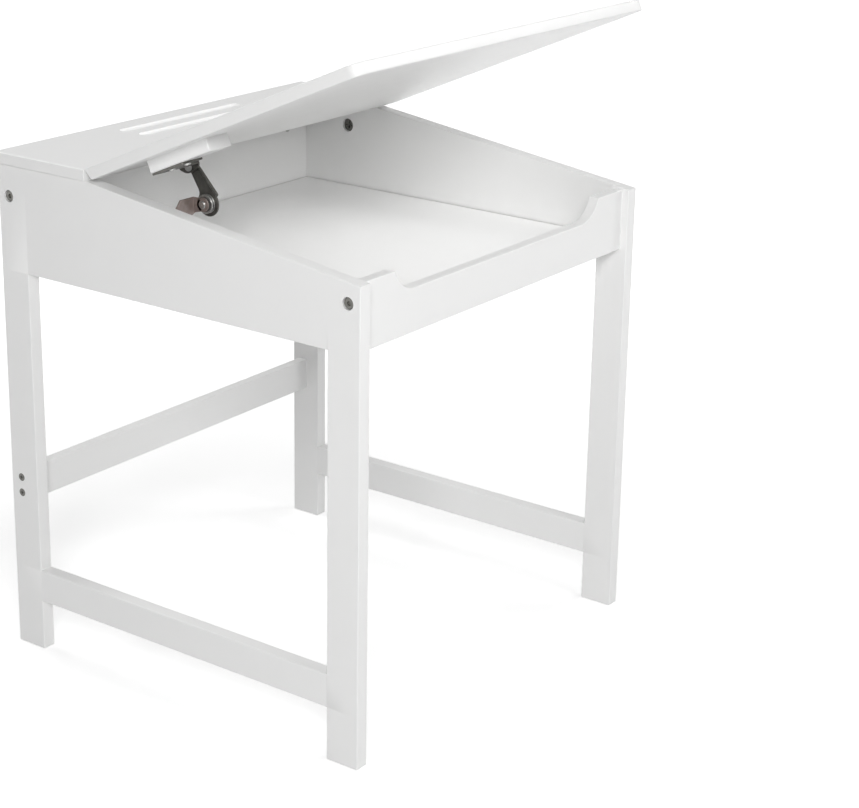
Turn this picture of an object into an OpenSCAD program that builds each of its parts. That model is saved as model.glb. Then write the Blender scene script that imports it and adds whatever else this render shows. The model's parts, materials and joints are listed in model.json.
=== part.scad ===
// Lift-top desk for a child, with a storage box under the lid.
// Millimetres. Z is up, the child sits at the -Y side, the floor is Z = 0 and
// the origin is the middle of the footprint. The lid is drawn raised.

/* [Side frames] */
// Width across the outer faces of the two side frames
frame_w = 475; // [420:1:560]
// Depth of a side frame, from the front leg's face to the rear leg's face
frame_d = 455; // [430:1:480]
// Thickness of the side frames
side_t = 15; // [14:0.5:18]
// Width of a leg, seen from the side
leg_w = 37; // [34:1:44]
// Height of the side frames under the shelf
rear_h = 521; // [510:1:560]
// Height that the side frames lose from the shelf to the front
slope_drop = 43; // [35:1:51]
// Height of the side panels and the cross boards' ends at the front
front_panel_h = 66; // [64:1:88]
// Height of the lower edge of the lower rails
rail_low = 55; // [40:1:100]
// Height of the lower rails' section
rail_h = 35; // [30:1:45]

/* [Box] */
// Thickness of the front and back boards and of the stretcher
board_t = 12; // [11:0.5:14]
// Set-back of the boards from the outer edges of the legs
board_inset = 8; // [6:0.5:10]
// Distance from the legs' front corners down to the front board's ends
front_board_drop = 1; // [0.6:0.1:4]
// Depth of the scoop in the front board's upper edge
scoop_drop = 22; // [15:1:26]
// Length of each full-height end of the front board
scoop_shoulder = 47; // [40:1:60]
// Radius of the scoop's curved ends
scoop_r = 34; // [30:1:40]
// Thickness of the box's floor
floor_t = 9; // [7:0.5:10]
// Height of the floor's upper face above the boards' lower edges
floor_rise = 13.5; // [12:0.5:16]
// Joint left open all round the floor
floor_gap = 0.8; // [0.4:0.1:1]
// Height of the stretcher between the rear legs
stretcher_h = 36; // [34:1:45]
// Height of the stretcher's lower edge
stretcher_low = 163; // [120:1:200]

/* [Shelf and lid] */
// Thickness of the fixed rear shelf
shelf_t = 12; // [11:0.5:14]
// Front-to-back size of the shelf
shelf_d = 125; // [120:1:130]
// Overhang of the shelf and the lid past the side frames, and of the shelf at the back
top_over = 3; // [1:0.5:6]
// Thickness of the lid
lid_t = 12; // [11:0.5:13]
// Length of the lid, from the hinge line to its front edge
lid_len = 357; // [350:1:370]
// Radius of the lid's two front corners
lid_corner_r = 12; // [6:1:20]
// Bevel of the lid's rear edge
lid_bevel_a = 22; // [18:1:26]
// Slope of the raised lid above the horizontal
lid_open_a = 23.6; // [20:0.2:26]
// Distance between the closed lid and the side frames
lid_seat_gap = 0.4; // [0.3:0.1:0.8]
// Width of a pencil groove's cove
groove_r = 7; // [6:0.5:8]
// Depth of the pencil grooves
groove_depth = 5; // [4.5:0.1:5.5]
// Length of the pencil grooves, end to end
groove_len = 186; // [150:1:240]
// Distance from the shelf's rear edge to the rear groove's middle
groove_rear = 33; // [28:1:40]
// Distance between the two grooves' middles
groove_pitch = 27; // [20:1:32]

/* [Hinges] */
// Length of a hinge
hinge_len = 52; // [45:1:64]
// Distance from the desk's middle to a hinge's middle
hinge_x = 173; // [150:1:185]
// Thickness of a hinge leaf
leaf_t = 0.8; // [0.6:0.1:0.9]
// Height of a hinge leaf below the pin's axis
leaf_h = 10.4; // [9:0.1:10.8]
// Outer radius of the hinge knuckles
knuckle_r = 2.2; // [2:0.1:2.4]
// Radius of the hinge pins
hinge_pin_r = 1; // [0.8:0.1:1.2]
// Distance from the pin's axis to the edge that a leaf is screwed to
hinge_off = 1; // [0.9:0.05:1.2]

/* [Lid stay] */
// Distance from the left side frame's inner face to the middle of the arm
stay_reach = 68.5; // [66:0.5:76]
// Distance from the hinge line forward to the stay's lower pivot
stay_fore = 81; // [76:0.5:86]
// Distance from the side frames' sloping edge down to the lower pivot
stay_drop = 14; // [13.5:0.1:16]
// Distance between the arm's two pivots
arm_len = 40; // [39:0.2:42]
// Angle of the raised arm above the horizontal
arm_rest_a = 58; // [56:0.5:60]
// Turn of the arm for one degree of the lid
arm_ratio = 1.35; // [1.3:0.01:1.45]
// Thickness of the stay's sheet metal
sheet_t = 2; // [1.5:0.1:2.2]
// Radius of the arm's lower lobe
lobe_r = 13; // [10.5:0.1:13.3]
// Radius of the arm's upper end
arm_end_r = 5; // [4.5:0.1:6]
// Radius of the lower pivot's rivet
rivet_r = 2.5; // [2:0.1:3]
// Radius of the arm's upper pin
arm_pin_r = 2; // [1.6:0.1:2.4]
// Radius of the clamped steel discs at the lower pivot
disc_r = 9.5; // [8:0.1:10]
// Radius of the base bracket's ear
ear_r = 7; // [6.5:0.1:8]
// Thickness of one steel disc
disc_t = 1.5; // [1.2:0.1:1.6]
// Thickness of one friction ring
ring_t = 1.5; // [1.2:0.1:1.6]
// Width of the wooden block under the lid
block_w = 31; // [26:1:33]
// Length of the block
block_len = 82; // [70:1:90]
// Thickness of the block
block_t = 13; // [11:0.5:14]
// Distance from the hinge line to the block's rear end
block_start = 62; // [56:1:70]
// Distance from the side frame's inner face to the block
block_side_gap = 3.5; // [3:0.1:5]

/* [Fasteners] */
// Diameter of the dowels in the frames and boards
dowel_d = 8; // [6:0.5:8]
// Length of those dowels
dowel_len = 30; // [24:1:32]
// Diameter of the thin dowels at the floor and the shelf
pin_dowel_d = 6; // [5:0.5:6]
// Length of the thin dowels
pin_dowel_len = 18; // [14:1:20]
// Radius of the counterbores over the connector bolts
cbore_r = 6.2; // [5.8:0.1:6.4]
// Depth of those counterbores
cbore_depth = 4; // [3:0.5:6]
// Radius of the connector bolts' heads
bolt_head_r = 5.4; // [4.8:0.1:5.6]
// Radius of the connector bolts' shanks
bolt_r = 3; // [2.5:0.1:3.2]
// Radius of the barrel nuts
nut_r = 5; // [4.5:0.1:5.5]
// Distance from a board's end to its barrel nut's middle
nut_reach = 34; // [28:1:40]
// Distance from the sloping edge down to the front bolts
front_bolt_drop = 20; // [18:1:24]
// Distance from the shelf down to the rear bolts
rear_bolt_drop = 32; // [28:1:40]
// Radius of the stretcher screws' heads
screw_head_r = 4.2; // [3.8:0.1:4.4]
// Distance between the two stretcher screws of one end
screw_pitch = 17; // [14:0.5:20]
// Radius of the cam locks under the shelf
cam_r = 7.5; // [7:0.1:7.5]
// Distance from the shelf down to the cam locks' middles
cam_drop = 26; // [22:1:30]
// Distance from the shelf's front edge back to the cam locks' middles
cam_back = 41; // [34:1:50]

/* [Hidden] */
$fn = 64;

// Colours
PAINT = "#f3f3f1";
BEECH = "#d9bd8c";
ZINC = "#b9bbbd";
DARK_STEEL = "#5c5955";
BROWN_STEEL = "#8d7f77";
FIBRE = "#3b3a38";

// Clearances
fit_gap = 0.05;
edge_gap = 0.3;

// Places, front to back
y_front = -(frame_d + top_over) / 2;
y_rear = (frame_d - top_over) / 2;
y_front_leg = y_front + leg_w;
y_rear_leg = y_rear - leg_w;
y_shelf = y_rear + top_over - shelf_d;
y_front_board = y_front + board_inset;
y_back_board = y_rear - board_inset - board_t;
y_front_mid = y_front_board + board_t / 2;
y_back_mid = y_back_board + board_t / 2;

// Places, side to side
x_out = frame_w / 2;
x_in = x_out - side_t;
x_side_mid = x_out - side_t / 2;

// The sloping upper edge of the side frames, and the lower edge of the panels and cross boards
front_h = rear_h - slope_drop;
panel_low = front_h - front_panel_h;
front_board_h = front_panel_h - front_board_drop;
slope_a = atan(slope_drop / (y_shelf - y_front));
function slope_z(y) = y > y_shelf ? rear_h : rear_h - (y_shelf - y) * tan(slope_a);

// The hinge line and the lid's own frame: its front is at -Y and its top at +Z
hinge_y = y_shelf - hinge_off;
hinge_z = rear_h + shelf_t;
lid_sweep = lid_open_a + slope_a;
lid_under = lid_seat_gap - (shelf_t * cos(slope_a) + hinge_off * sin(slope_a));
lid_w = frame_w + 2 * top_over;
function lid_rear_y(z) = (z * sin(lid_bevel_a) - hinge_off) / cos(lid_bevel_a);

// Dowel and bolt places
dowel_edge = 16;
front_bolt_z = slope_z(y_front_mid) - front_bolt_drop;
rear_bolt_z = rear_h - rear_bolt_drop;
floor_z = panel_low + floor_rise;
floor_mid_z = floor_z - floor_t / 2;
stretcher_mid_z = stretcher_low + stretcher_h / 2;
cam_y = y_shelf + cam_back;
cam_z = rear_h - cam_drop;
rail_mid_z = rail_low + rail_h / 2;
frame_dowel_yz = [
  [y_front_leg, panel_low + dowel_edge], [y_front_leg, slope_z(y_front_leg) - dowel_edge],
  [y_rear_leg, panel_low + dowel_edge], [y_rear_leg, rear_h - dowel_edge],
  [y_front_leg, rail_mid_z], [y_rear_leg, rail_mid_z]
];
board_dowel_yz = [
  [y_front_mid, panel_low + dowel_edge],
  [y_back_mid, panel_low + dowel_edge]
];
dowel_wall = 5;
board_dowel_side = side_t - dowel_wall;
floor_dowel_share = 0.3;
floor_dowel_x = [-frame_w * floor_dowel_share, 0, frame_w * floor_dowel_share];
shelf_dowel_xy = [
  for (side = [-1, 1]) [side * x_side_mid, y_shelf + dowel_edge],
  for (side = [-1, 1]) [side * x_side_mid, y_rear_leg + leg_w / 2],
  for (side = [-1, 1]) [side * x_in / 2, y_back_mid]
];
shelf_dowel_wall = 4;
shelf_dowel_up = shelf_t - shelf_dowel_wall;

// Lid stay
arm_x = -x_in + stay_reach;
arm_left = arm_x - sheet_t / 2;
disc_count = 2;
stack_len = disc_count * (disc_t + ring_t);
base_ear_x = arm_left - fit_gap - stack_len - sheet_t;
stay_y = hinge_y - stay_fore;
stay_z = slope_z(stay_y) - stay_drop;
web_gap = 2;
web_rise = 6;
web_y = stay_y + disc_r + web_gap;
web_top_z = stay_z + web_rise;
flange_drop = 8;
flange_h = 20;
flange_len = 32;
flange_top_z = stay_z - flange_drop;
flange_low_z = flange_top_z - flange_h;
lid_ear_gap = 1;
lid_ear_x = arm_left - lid_ear_gap - sheet_t;
pin_head_t = 1.5;
block_x = -x_in + block_side_gap;

// The upper pin's path, seen from the lid, as the lid turns by share t of its sweep
function turn(p, a) = [p[0] * cos(a) - p[1] * sin(a), p[0] * sin(a) + p[1] * cos(a)];
function pin_yz(t) = let (a = arm_rest_a - arm_ratio * lid_sweep * t)
  [stay_y + arm_len * cos(a) - hinge_y, stay_z + arm_len * sin(a) - hinge_z];
function pin_on_lid(t) = turn(pin_yz(t), lid_open_a - lid_sweep * t);
slot_a = pin_on_lid(0);
slot_chord_share = 0.85;
slot_b = pin_on_lid(slot_chord_share);
slot_dir = (slot_b - slot_a) / norm(slot_b - slot_a);
slot_turn = atan2(slot_dir[1], slot_dir[0]);
slot_step_count = 20;
slot_steps = [for (i = [0 : slot_step_count]) turn(pin_on_lid(i / slot_step_count) - slot_a, -slot_turn)];
slot_high = max([for (p = slot_steps) p[1]]);
slot_low = min([for (p = slot_steps) p[1]]);
slot_mid = (slot_high + slot_low) / 2;
slot_end = max([for (p = slot_steps) p[0]]);
slot_r = arm_pin_r + edge_gap + (slot_high - slot_low) / 2;

// An outline in Y and Z, drawn out along X from x0
module along_x(x0, len) {
  translate([x0, 0, 0]) rotate([90, 0, 90]) linear_extrude(len) children();
}

// An outline in X and Z, drawn out along Y from y0
module along_y(y0, len) {
  translate([0, y0 + len, 0]) rotate([90, 0, 0]) linear_extrude(len) children();
}

// Round bars along each axis
module rod_x(r, x0, len, y, z) {
  translate([x0, y, z]) rotate([0, 90, 0]) cylinder(r = r, h = len);
}

module rod_y(r, y0, len, x, z) {
  translate([x, y0, z]) rotate([-90, 0, 0]) cylinder(r = r, h = len);
}

module rod_z(r, z0, len, x, y) {
  translate([x, y, z0]) cylinder(r = r, h = len);
}

// Children given in the lid's own frame
module on_lid() {
  translate([0, hinge_y, hinge_z]) rotate([-lid_open_a, 0, 0]) children();
}

// Children given for the +X side, set at one side of the desk
module at_side(side) {
  if (side > 0) children();
  else mirror([1, 0, 0]) children();
}

// A countersunk screw along +X with its head's face at the origin
module csk_screw(head_r, r, len) {
  head_h = head_r - r;
  difference() {
    union() {
      rotate([0, 90, 0]) cylinder(r1 = head_r, r2 = r, h = head_h);
      rotate([0, 90, 0]) cylinder(r = r, h = len);
    }
    cross_recess(head_r * recess_share, head_h * recess_depth_share);
  }
}

recess_share = 0.48;
recess_depth_share = 0.7;
past = 0.1;

// The cross-shaped recess of a screw whose head's face is at the origin, facing -X
module cross_recess(reach, depth) {
  for (a = [0, 90])
    rotate([a, 0, 0])
      translate([(depth - past) / 2, 0, 0]) cube([depth + past, reach * 2, reach / 2], center = true);
}

// A pan-head screw along +X with the underside of its head at the origin
module pan_screw(head_r, head_t, r, len) {
  difference() {
    union() {
      translate([-head_t, 0, 0]) rotate([0, 90, 0]) cylinder(r = head_r, h = head_t);
      rotate([0, 90, 0]) cylinder(r = r, h = len);
    }
    translate([-head_t, 0, 0]) cross_recess(head_r * recess_share, head_t * recess_depth_share);
  }
}

// The hole that a countersunk screw needs
module csk_hole(head_r, r, len) {
  rotate([0, 90, 0]) cylinder(r1 = head_r + fit_gap, r2 = r, h = head_r - r);
  rotate([0, 90, 0]) cylinder(r = r, h = len);
}

// ---- Side frames, drawn for the +X side ----

module frame_dowel_bores() {
  for (p = frame_dowel_yz)
    rod_y(dowel_d / 2 + fit_gap, p[0] - dowel_len / 2 - fit_gap, dowel_len + 2 * fit_gap, x_side_mid, p[1]);
}

module board_dowel_bores() {
  for (p = board_dowel_yz)
    rod_x(dowel_d / 2 + fit_gap, x_in - dowel_len + board_dowel_side - fit_gap,
          dowel_len + 2 * fit_gap, p[0], p[1]);
}

module shelf_dowel_bores() {
  for (p = shelf_dowel_xy)
    rod_z(pin_dowel_d / 2 + fit_gap, rear_h + shelf_dowel_up - pin_dowel_len - fit_gap,
          pin_dowel_len + 2 * fit_gap, p[0], p[1]);
}

bolt_hole_spare = 2;

module bolt_holes() {
  hole_len = nut_reach + nut_r + bolt_hole_spare;
  for (p = [[y_front_mid, front_bolt_z], [y_back_mid, rear_bolt_z]]) {
    rod_x(cbore_r, x_out - cbore_depth, cbore_depth + 1, p[0], p[1]);
    rod_x(bolt_r + fit_gap, x_in - hole_len, hole_len + side_t, p[0], p[1]);
  }
}

stretcher_screw_r = 2.4;
stretcher_screw_len = 50;

module stretcher_screw_places() {
  for (dz = [-screw_pitch / 2, screw_pitch / 2])
    translate([x_out, y_back_mid, stretcher_mid_z + dz]) mirror([1, 0, 0]) children();
}

module frame_cuts() {
  frame_dowel_bores();
  board_dowel_bores();
  shelf_dowel_bores();
  bolt_holes();
  stretcher_screw_places() csk_hole(screw_head_r, stretcher_screw_r, stretcher_screw_len);
}

module front_leg(side) {
  color(PAINT) at_side(side) difference() {
    along_x(x_in, side_t)
      polygon([[y_front, 0], [y_front_leg, 0], [y_front_leg, slope_z(y_front_leg)], [y_front, front_h]]);
    frame_cuts();
  }
}

module rear_leg(side) {
  color(PAINT) at_side(side) difference() {
    along_x(x_in, side_t)
      translate([y_rear_leg, 0]) square([leg_w, rear_h]);
    frame_cuts();
  }
}

module side_panel(side) {
  color(PAINT) at_side(side) difference() {
    along_x(x_in, side_t)
      polygon([[y_front_leg, panel_low], [y_rear_leg, panel_low], [y_rear_leg, rear_h],
               [y_shelf, rear_h], [y_front_leg, slope_z(y_front_leg)]]);
    frame_cuts();
    rod_x(cam_r + fit_gap, x_in - 1, side_t - cam_wall + 1, cam_y, cam_z);
    rod_z(cam_bore_r, cam_z, cam_drop + 1, x_in + cam_axis_in, cam_y);
    if (side < 0) stay_base_screw_places() rotate([0, 90, 0]) cylinder(r = stay_screw_r, h = stay_screw_len);
  }
}

module lower_rail(side) {
  color(PAINT) at_side(side) difference() {
    along_x(x_in, side_t)
      translate([y_front_leg, rail_low]) square([y_rear_leg - y_front_leg, rail_h]);
    frame_cuts();
  }
}

module left_front_leg() front_leg(-1);
module left_rear_leg() rear_leg(-1);
module left_side_panel() side_panel(-1);
module left_lower_rail() lower_rail(-1);
module right_front_leg() front_leg(1);
module right_rear_leg() rear_leg(1);
module right_side_panel() side_panel(1);
module right_lower_rail() lower_rail(1);

// ---- Boards between the side frames ----

module board_cuts() {
  for (side = [-1, 1])
    at_side(side) {
      board_dowel_bores();
      bolt_holes();
      nut_bores();
      stretcher_screw_places() csk_hole(screw_head_r, stretcher_screw_r, stretcher_screw_len);
    }
  shelf_dowel_bores();
  floor_dowel_places()
    cylinder(r = pin_dowel_d / 2 + fit_gap, h = pin_dowel_len + 2 * fit_gap, center = true);
}

nut_wall = 2.4;
nut_len = board_t - nut_wall;

module nut_places() {
  translate([x_in - nut_reach, y_front_board + board_t, front_bolt_z]) children();
  translate([x_in - nut_reach, y_back_board, rear_bolt_z]) mirror([0, 1, 0]) children();
}

module nut_bores() {
  nut_places()
    rotate([90, 0, 0]) translate([0, 0, -1]) cylinder(r = nut_r + fit_gap, h = nut_len + 1 + fit_gap);
}

module floor_dowel_places() {
  for (x = floor_dowel_x, y = [y_front_board + board_t, y_back_board])
    translate([x, y, floor_mid_z]) rotate([90, 0, 0]) children();
}

// The front board's outline: full-height ends and a scoop with curved ends
module front_board_outline() {
  half = x_in - scoop_shoulder;
  scoop_z = panel_low + front_board_h - scoop_drop;
  sweep_w = sqrt(scoop_r * scoop_r - (scoop_r - scoop_drop) * (scoop_r - scoop_drop));
  difference() {
    translate([-x_in, panel_low]) square([2 * x_in, front_board_h]);
    translate([-half + sweep_w, scoop_z])
      square([2 * (half - sweep_w), scoop_drop + 1]);
    for (side = [-1, 1])
      intersection() {
        translate([side * (half - sweep_w), scoop_z + scoop_r]) circle(r = scoop_r);
        translate([-half - 1, scoop_z]) square([2 * half + 2, scoop_drop + 1]);
      }
  }
}

module front_board() {
  color(PAINT) difference() {
    along_y(y_front_board, board_t) front_board_outline();
    board_cuts();
  }
}

module back_board() {
  color(PAINT) difference() {
    translate([-x_in, y_back_board, panel_low]) cube([2 * x_in, board_t, rear_h - panel_low]);
    board_cuts();
  }
}

module bottom_panel() {
  front = y_front_board + board_t + floor_gap;
  color(PAINT) difference() {
    translate([-x_in + floor_gap, front, floor_z - floor_t])
      cube([2 * (x_in - floor_gap), y_back_board - floor_gap - front, floor_t]);
    board_cuts();
  }
}

module rear_stretcher() {
  color(PAINT) difference() {
    translate([-x_in, y_back_board, stretcher_low]) cube([2 * x_in, board_t, stretcher_h]);
    board_cuts();
  }
}

// ---- Shelf and lid ----

module pencil_groove(y) {
  reach = groove_len / 2 - groove_r;
  z = rear_h + shelf_t - groove_depth + groove_r;
  rod_x(groove_r, -reach, 2 * reach, y, z);
  for (side = [-1, 1]) translate([side * reach, y, z]) sphere(r = groove_r);
}

module hinge_places() {
  for (side = [-1, 1]) translate([side * hinge_x, 0, 0]) children();
}

// Room for the hinge knuckles, about the hinge line
module knuckle_relief() {
  hinge_places()
    rotate([0, 90, 0]) cylinder(r = knuckle_r + edge_gap, h = hinge_len + 2 * edge_gap, center = true);
}

leaf_screw_r = 1.4;
leaf_screw_head_r = 2.2;
leaf_screw_len = 10;
leaf_screw_z = -6.4;

// The screws of one leaf, given in a frame whose +Y points into the board
module leaf_screw_places() {
  hinge_places()
    for (x = [-hinge_len / 3, hinge_len / 3])
      translate([x, hinge_off - leaf_t, leaf_screw_z]) rotate([0, 0, 90]) children();
}

// The frame of the lid's bevelled rear edge
module on_bevel() {
  rotate([-lid_bevel_a, 0, 0]) mirror([0, 1, 0]) children();
}

module top_shelf() {
  color(PAINT) difference() {
    translate([-lid_w / 2, y_shelf, rear_h]) cube([lid_w, shelf_d, shelf_t]);
    pencil_groove(y_rear + top_over - groove_rear);
    pencil_groove(y_rear + top_over - groove_rear - groove_pitch);
    shelf_dowel_bores();
    translate([0, hinge_y, hinge_z]) knuckle_relief();
    translate([0, hinge_y, hinge_z]) leaf_screw_places()
      csk_hole(leaf_screw_head_r, leaf_screw_r, leaf_screw_len);
    for (side = [-1, 1])
      at_side(side) rod_z(cam_thread_r, rear_h - 1, cam_thread_len + 1, x_in + cam_axis_in, cam_y);
  }
}

module lid_outline() {
  r = lid_corner_r;
  union() {
    translate([-lid_w / 2, r - lid_len]) square([lid_w, lid_len]);
    translate([r - lid_w / 2, -lid_len]) square([lid_w - 2 * r, 2 * r]);
    for (side = [-1, 1]) translate([side * (lid_w / 2 - r), r - lid_len]) circle(r = r);
  }
}

module lid() {
  color(PAINT) on_lid() difference() {
    intersection() {
      translate([0, 0, lid_under]) linear_extrude(lid_t) lid_outline();
      along_x(-lid_w / 2 - 1, lid_w + 2)
        polygon([[-lid_len - 1, lid_under - 1], [lid_rear_y(lid_under - 1), lid_under - 1],
                 [lid_rear_y(lid_under + lid_t + 1), lid_under + lid_t + 1],
                 [-lid_len - 1, lid_under + lid_t + 1]]);
    }
    knuckle_relief();
    on_bevel() leaf_screw_places() csk_hole(leaf_screw_head_r, leaf_screw_r, leaf_screw_len);
    block_screw_places() csk_hole(block_screw_head_r, block_screw_r, block_screw_len);
  }
}

// ---- Dowels, bolts, screws and cams ----

module frame_dowels() {
  color(BEECH)
    for (side = [-1, 1])
      at_side(side)
        for (p = frame_dowel_yz) rod_y(dowel_d / 2, p[0] - dowel_len / 2, dowel_len, x_side_mid, p[1]);
}

module board_dowels() {
  color(BEECH)
    for (side = [-1, 1])
      at_side(side)
        for (p = board_dowel_yz)
          rod_x(dowel_d / 2, x_in - dowel_len + board_dowel_side, dowel_len, p[0], p[1]);
}

module floor_dowels() {
  color(BEECH) floor_dowel_places() cylinder(r = pin_dowel_d / 2, h = pin_dowel_len, center = true);
}

module shelf_dowels() {
  color(BEECH)
    for (p = shelf_dowel_xy)
      rod_z(pin_dowel_d / 2, rear_h + shelf_dowel_up - pin_dowel_len, pin_dowel_len, p[0], p[1]);
}

bolt_head_t = 2.6;
bolt_head_web = 0.8;
bolt_socket_r = 2.3;

module connector_bolts() {
  head_x = x_out - cbore_depth;
  tip_x = x_in - nut_reach - nut_r;
  color(ZINC)
    for (side = [-1, 1])
      at_side(side)
        for (p = [[y_front_mid, front_bolt_z], [y_back_mid, rear_bolt_z]])
          difference() {
            union() {
              rod_x(bolt_head_r, head_x, bolt_head_t, p[0], p[1]);
              rod_x(bolt_r, tip_x, head_x - tip_x, p[0], p[1]);
            }
            translate([head_x + bolt_head_web, p[0], p[1]]) rotate([0, 90, 0])
              cylinder(r = bolt_socket_r, h = bolt_head_t, $fn = 6);
          }
}

module barrel_nuts() {
  color(ZINC)
    for (side = [-1, 1])
      at_side(side)
        difference() {
          nut_places() rotate([90, 0, 0]) cylinder(r = nut_r, h = nut_len);
          bolt_holes();
        }
}

module stretcher_screws() {
  color(ZINC)
    for (side = [-1, 1])
      at_side(side) stretcher_screw_places() csk_screw(screw_head_r, stretcher_screw_r, stretcher_screw_len);
}

cam_len = 9.5;
cam_wall = 2.5;
cam_axis_in = 8;
cam_slot_reach = 3.4;
cam_slot_depth = 2.5;
cam_thread_r = 2.5;
cam_thread_len = 9;
cam_neck_r = 2.2;
cam_neck_gap = 0.6;
cam_bore_r = 3.5;
cam_collar_r = 3.4;
cam_collar_t = 1.5;

// A cam lock's drum, sunk in the side panel, with its cross slot and the groove for the bolt
module cam_locks() {
  cam_face_x = x_out - cam_wall - cam_len;
  color(ZINC)
    for (side = [-1, 1])
      at_side(side)
        difference() {
          rod_x(cam_r, cam_face_x, cam_len, cam_y, cam_z);
          translate([cam_face_x, cam_y, cam_z]) cross_recess(cam_slot_reach, cam_slot_depth);
          rod_z(cam_neck_r + cam_neck_gap, cam_z - 1, cam_r + 2, x_in + cam_axis_in, cam_y);
        }
}

module cam_bolts() {
  color(ZINC)
    for (side = [-1, 1])
      at_side(side) {
        rod_z(cam_neck_r, cam_z, cam_drop, x_in + cam_axis_in, cam_y);
        rod_z(cam_thread_r, rear_h, cam_thread_len, x_in + cam_axis_in, cam_y);
        rod_z(cam_collar_r, rear_h - cam_collar_t, cam_collar_t, x_in + cam_axis_in, cam_y);
      }
}

// ---- Hinges ----

knuckle_gap = 0.3;
centre_knuckle_len = hinge_len / 3;
outer_knuckle_len = (hinge_len - centre_knuckle_len) / 2 - knuckle_gap;

// One leaf about the hinge line: its plate hangs down and its +Y face lies on the board
module leaf(outer) {
  difference() {
    union() {
      translate([-hinge_len / 2, hinge_off - leaf_t, -leaf_h])
        cube([hinge_len, leaf_t, outer ? leaf_h : leaf_h - knuckle_r - edge_gap]);
      if (outer)
        for (side = [-1, 1])
          at_side(side) rod_x(knuckle_r, hinge_len / 2 - outer_knuckle_len, outer_knuckle_len, 0, 0);
      else {
        rod_x(knuckle_r, -centre_knuckle_len / 2, centre_knuckle_len, 0, 0);
        translate([-centre_knuckle_len / 2, hinge_off - leaf_t, -leaf_h])
          cube([centre_knuckle_len, leaf_t, leaf_h]);
      }
    }
    if (outer)
      rod_x(knuckle_r + edge_gap, -centre_knuckle_len / 2 - knuckle_gap,
            centre_knuckle_len + 2 * knuckle_gap, 0, 0);
    rod_x(hinge_pin_r + (outer ? 0 : fit_gap), -hinge_len, 2 * hinge_len, 0, 0);
  }
}

module hinge_fixed_leaves() {
  color(ZINC) translate([0, hinge_y, hinge_z]) difference() {
    hinge_places() leaf(true);
    leaf_screw_places() csk_hole(leaf_screw_head_r, leaf_screw_r, leaf_screw_len);
  }
}

module hinge_moving_leaves() {
  color(ZINC) on_lid() on_bevel() difference() {
    hinge_places() leaf(false);
    leaf_screw_places() csk_hole(leaf_screw_head_r, leaf_screw_r, leaf_screw_len);
  }
}

module hinge_pins() {
  color(ZINC) translate([0, hinge_y, hinge_z]) hinge_places()
    rod_x(hinge_pin_r, -hinge_len / 2, hinge_len, 0, 0);
}

module hinge_shelf_screws() {
  color(ZINC) translate([0, hinge_y, hinge_z])
    leaf_screw_places() csk_screw(leaf_screw_head_r, leaf_screw_r, leaf_screw_len);
}

module hinge_lid_screws() {
  color(ZINC) on_lid() on_bevel()
    leaf_screw_places() csk_screw(leaf_screw_head_r, leaf_screw_r, leaf_screw_len);
}

// ---- Lid stay ----

stay_screw_r = 1.8;
stay_screw_head_r = 3.2;
stay_screw_head_t = 1.6;
stay_screw_len = 12;
block_screw_r = 2;
block_screw_head_r = 3.8;
block_screw_bite = 7;
block_screw_len = block_t + block_screw_bite;
block_screw_edge = 10;
block_screw_pitch = 20;

module block_screw_places() {
  front = block_start + block_len - block_screw_edge;
  for (s = [front - block_screw_pitch, front])
    translate([block_x + block_w / 2, -s, lid_under - block_t]) rotate([0, -90, 0]) children();
}

module stay_block() {
  color(PAINT) on_lid() difference() {
    translate([block_x, -block_start - block_len, block_low]) cube([block_w, block_len, block_t]);
    block_screw_places() csk_hole(block_screw_head_r, block_screw_r, block_screw_len);
    lid_bracket_screw_places() rotate([0, 90, 0]) cylinder(r = stay_screw_r, h = stay_screw_len);
  }
}

module block_screws() {
  color(ZINC) on_lid() block_screw_places() csk_screw(block_screw_head_r, block_screw_r, block_screw_len);
}

flange_screw_rear = 7;
flange_screw_pitch = 16;

// Screws through the base bracket's flange, along -X into the left side panel,
// in the frame that the +X side's pieces are drawn in
module stay_base_screw_places() {
  rear = web_y + flange_len - flange_screw_rear;
  for (y = [rear - flange_screw_pitch, rear])
    translate([x_in - sheet_t, y, (flange_low_z + flange_top_z) / 2]) children();
}

web_foot = 20;
web_shoulder_gap = 7;
web_shoulder_drop = 2.5;
web_ear_drop = 10;

// The base bracket: a flange on the side panel, a web across and an ear at the pivot
module stay_base_bracket() {
  web_right = base_ear_x + sheet_t;
  block_right = block_x + block_w;
  color(BROWN_STEEL) difference() {
    union() {
      translate([-x_in, web_y, flange_low_z]) cube([sheet_t, flange_len, flange_top_z - flange_low_z]);
      along_y(web_y, sheet_t)
        polygon([[-x_in, flange_low_z], [-x_in, flange_top_z], [block_right, stay_z - web_shoulder_drop],
                 [block_right + web_shoulder_gap, web_top_z], [web_right, web_top_z],
                 [web_right, stay_z - web_ear_drop], [web_foot - x_in, flange_low_z]]);
      along_x(base_ear_x, sheet_t) {
        translate([stay_y, stay_z]) circle(r = ear_r);
        polygon([[stay_y, stay_z - ear_r], [web_y + sheet_t, stay_z - web_ear_drop],
                 [web_y + sheet_t, web_top_z], [stay_y + ear_r * cos(web_top_a), web_top_z],
                 [stay_y, stay_z]]);
      }
    }
    rod_x(rivet_r, base_ear_x - 1, sheet_t + 2, stay_y, stay_z);
    mirror([1, 0, 0]) stay_base_screw_places() rotate([0, 90, 0]) cylinder(r = stay_screw_r, h = sheet_t + 1);
  }
}

web_top_a = asin((web_top_z - stay_z) / ear_r);

module stay_base_screws() {
  color(ZINC) mirror([1, 0, 0]) stay_base_screw_places()
    pan_screw(stay_screw_head_r, stay_screw_head_t, stay_screw_r, stay_screw_len);
}

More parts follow.
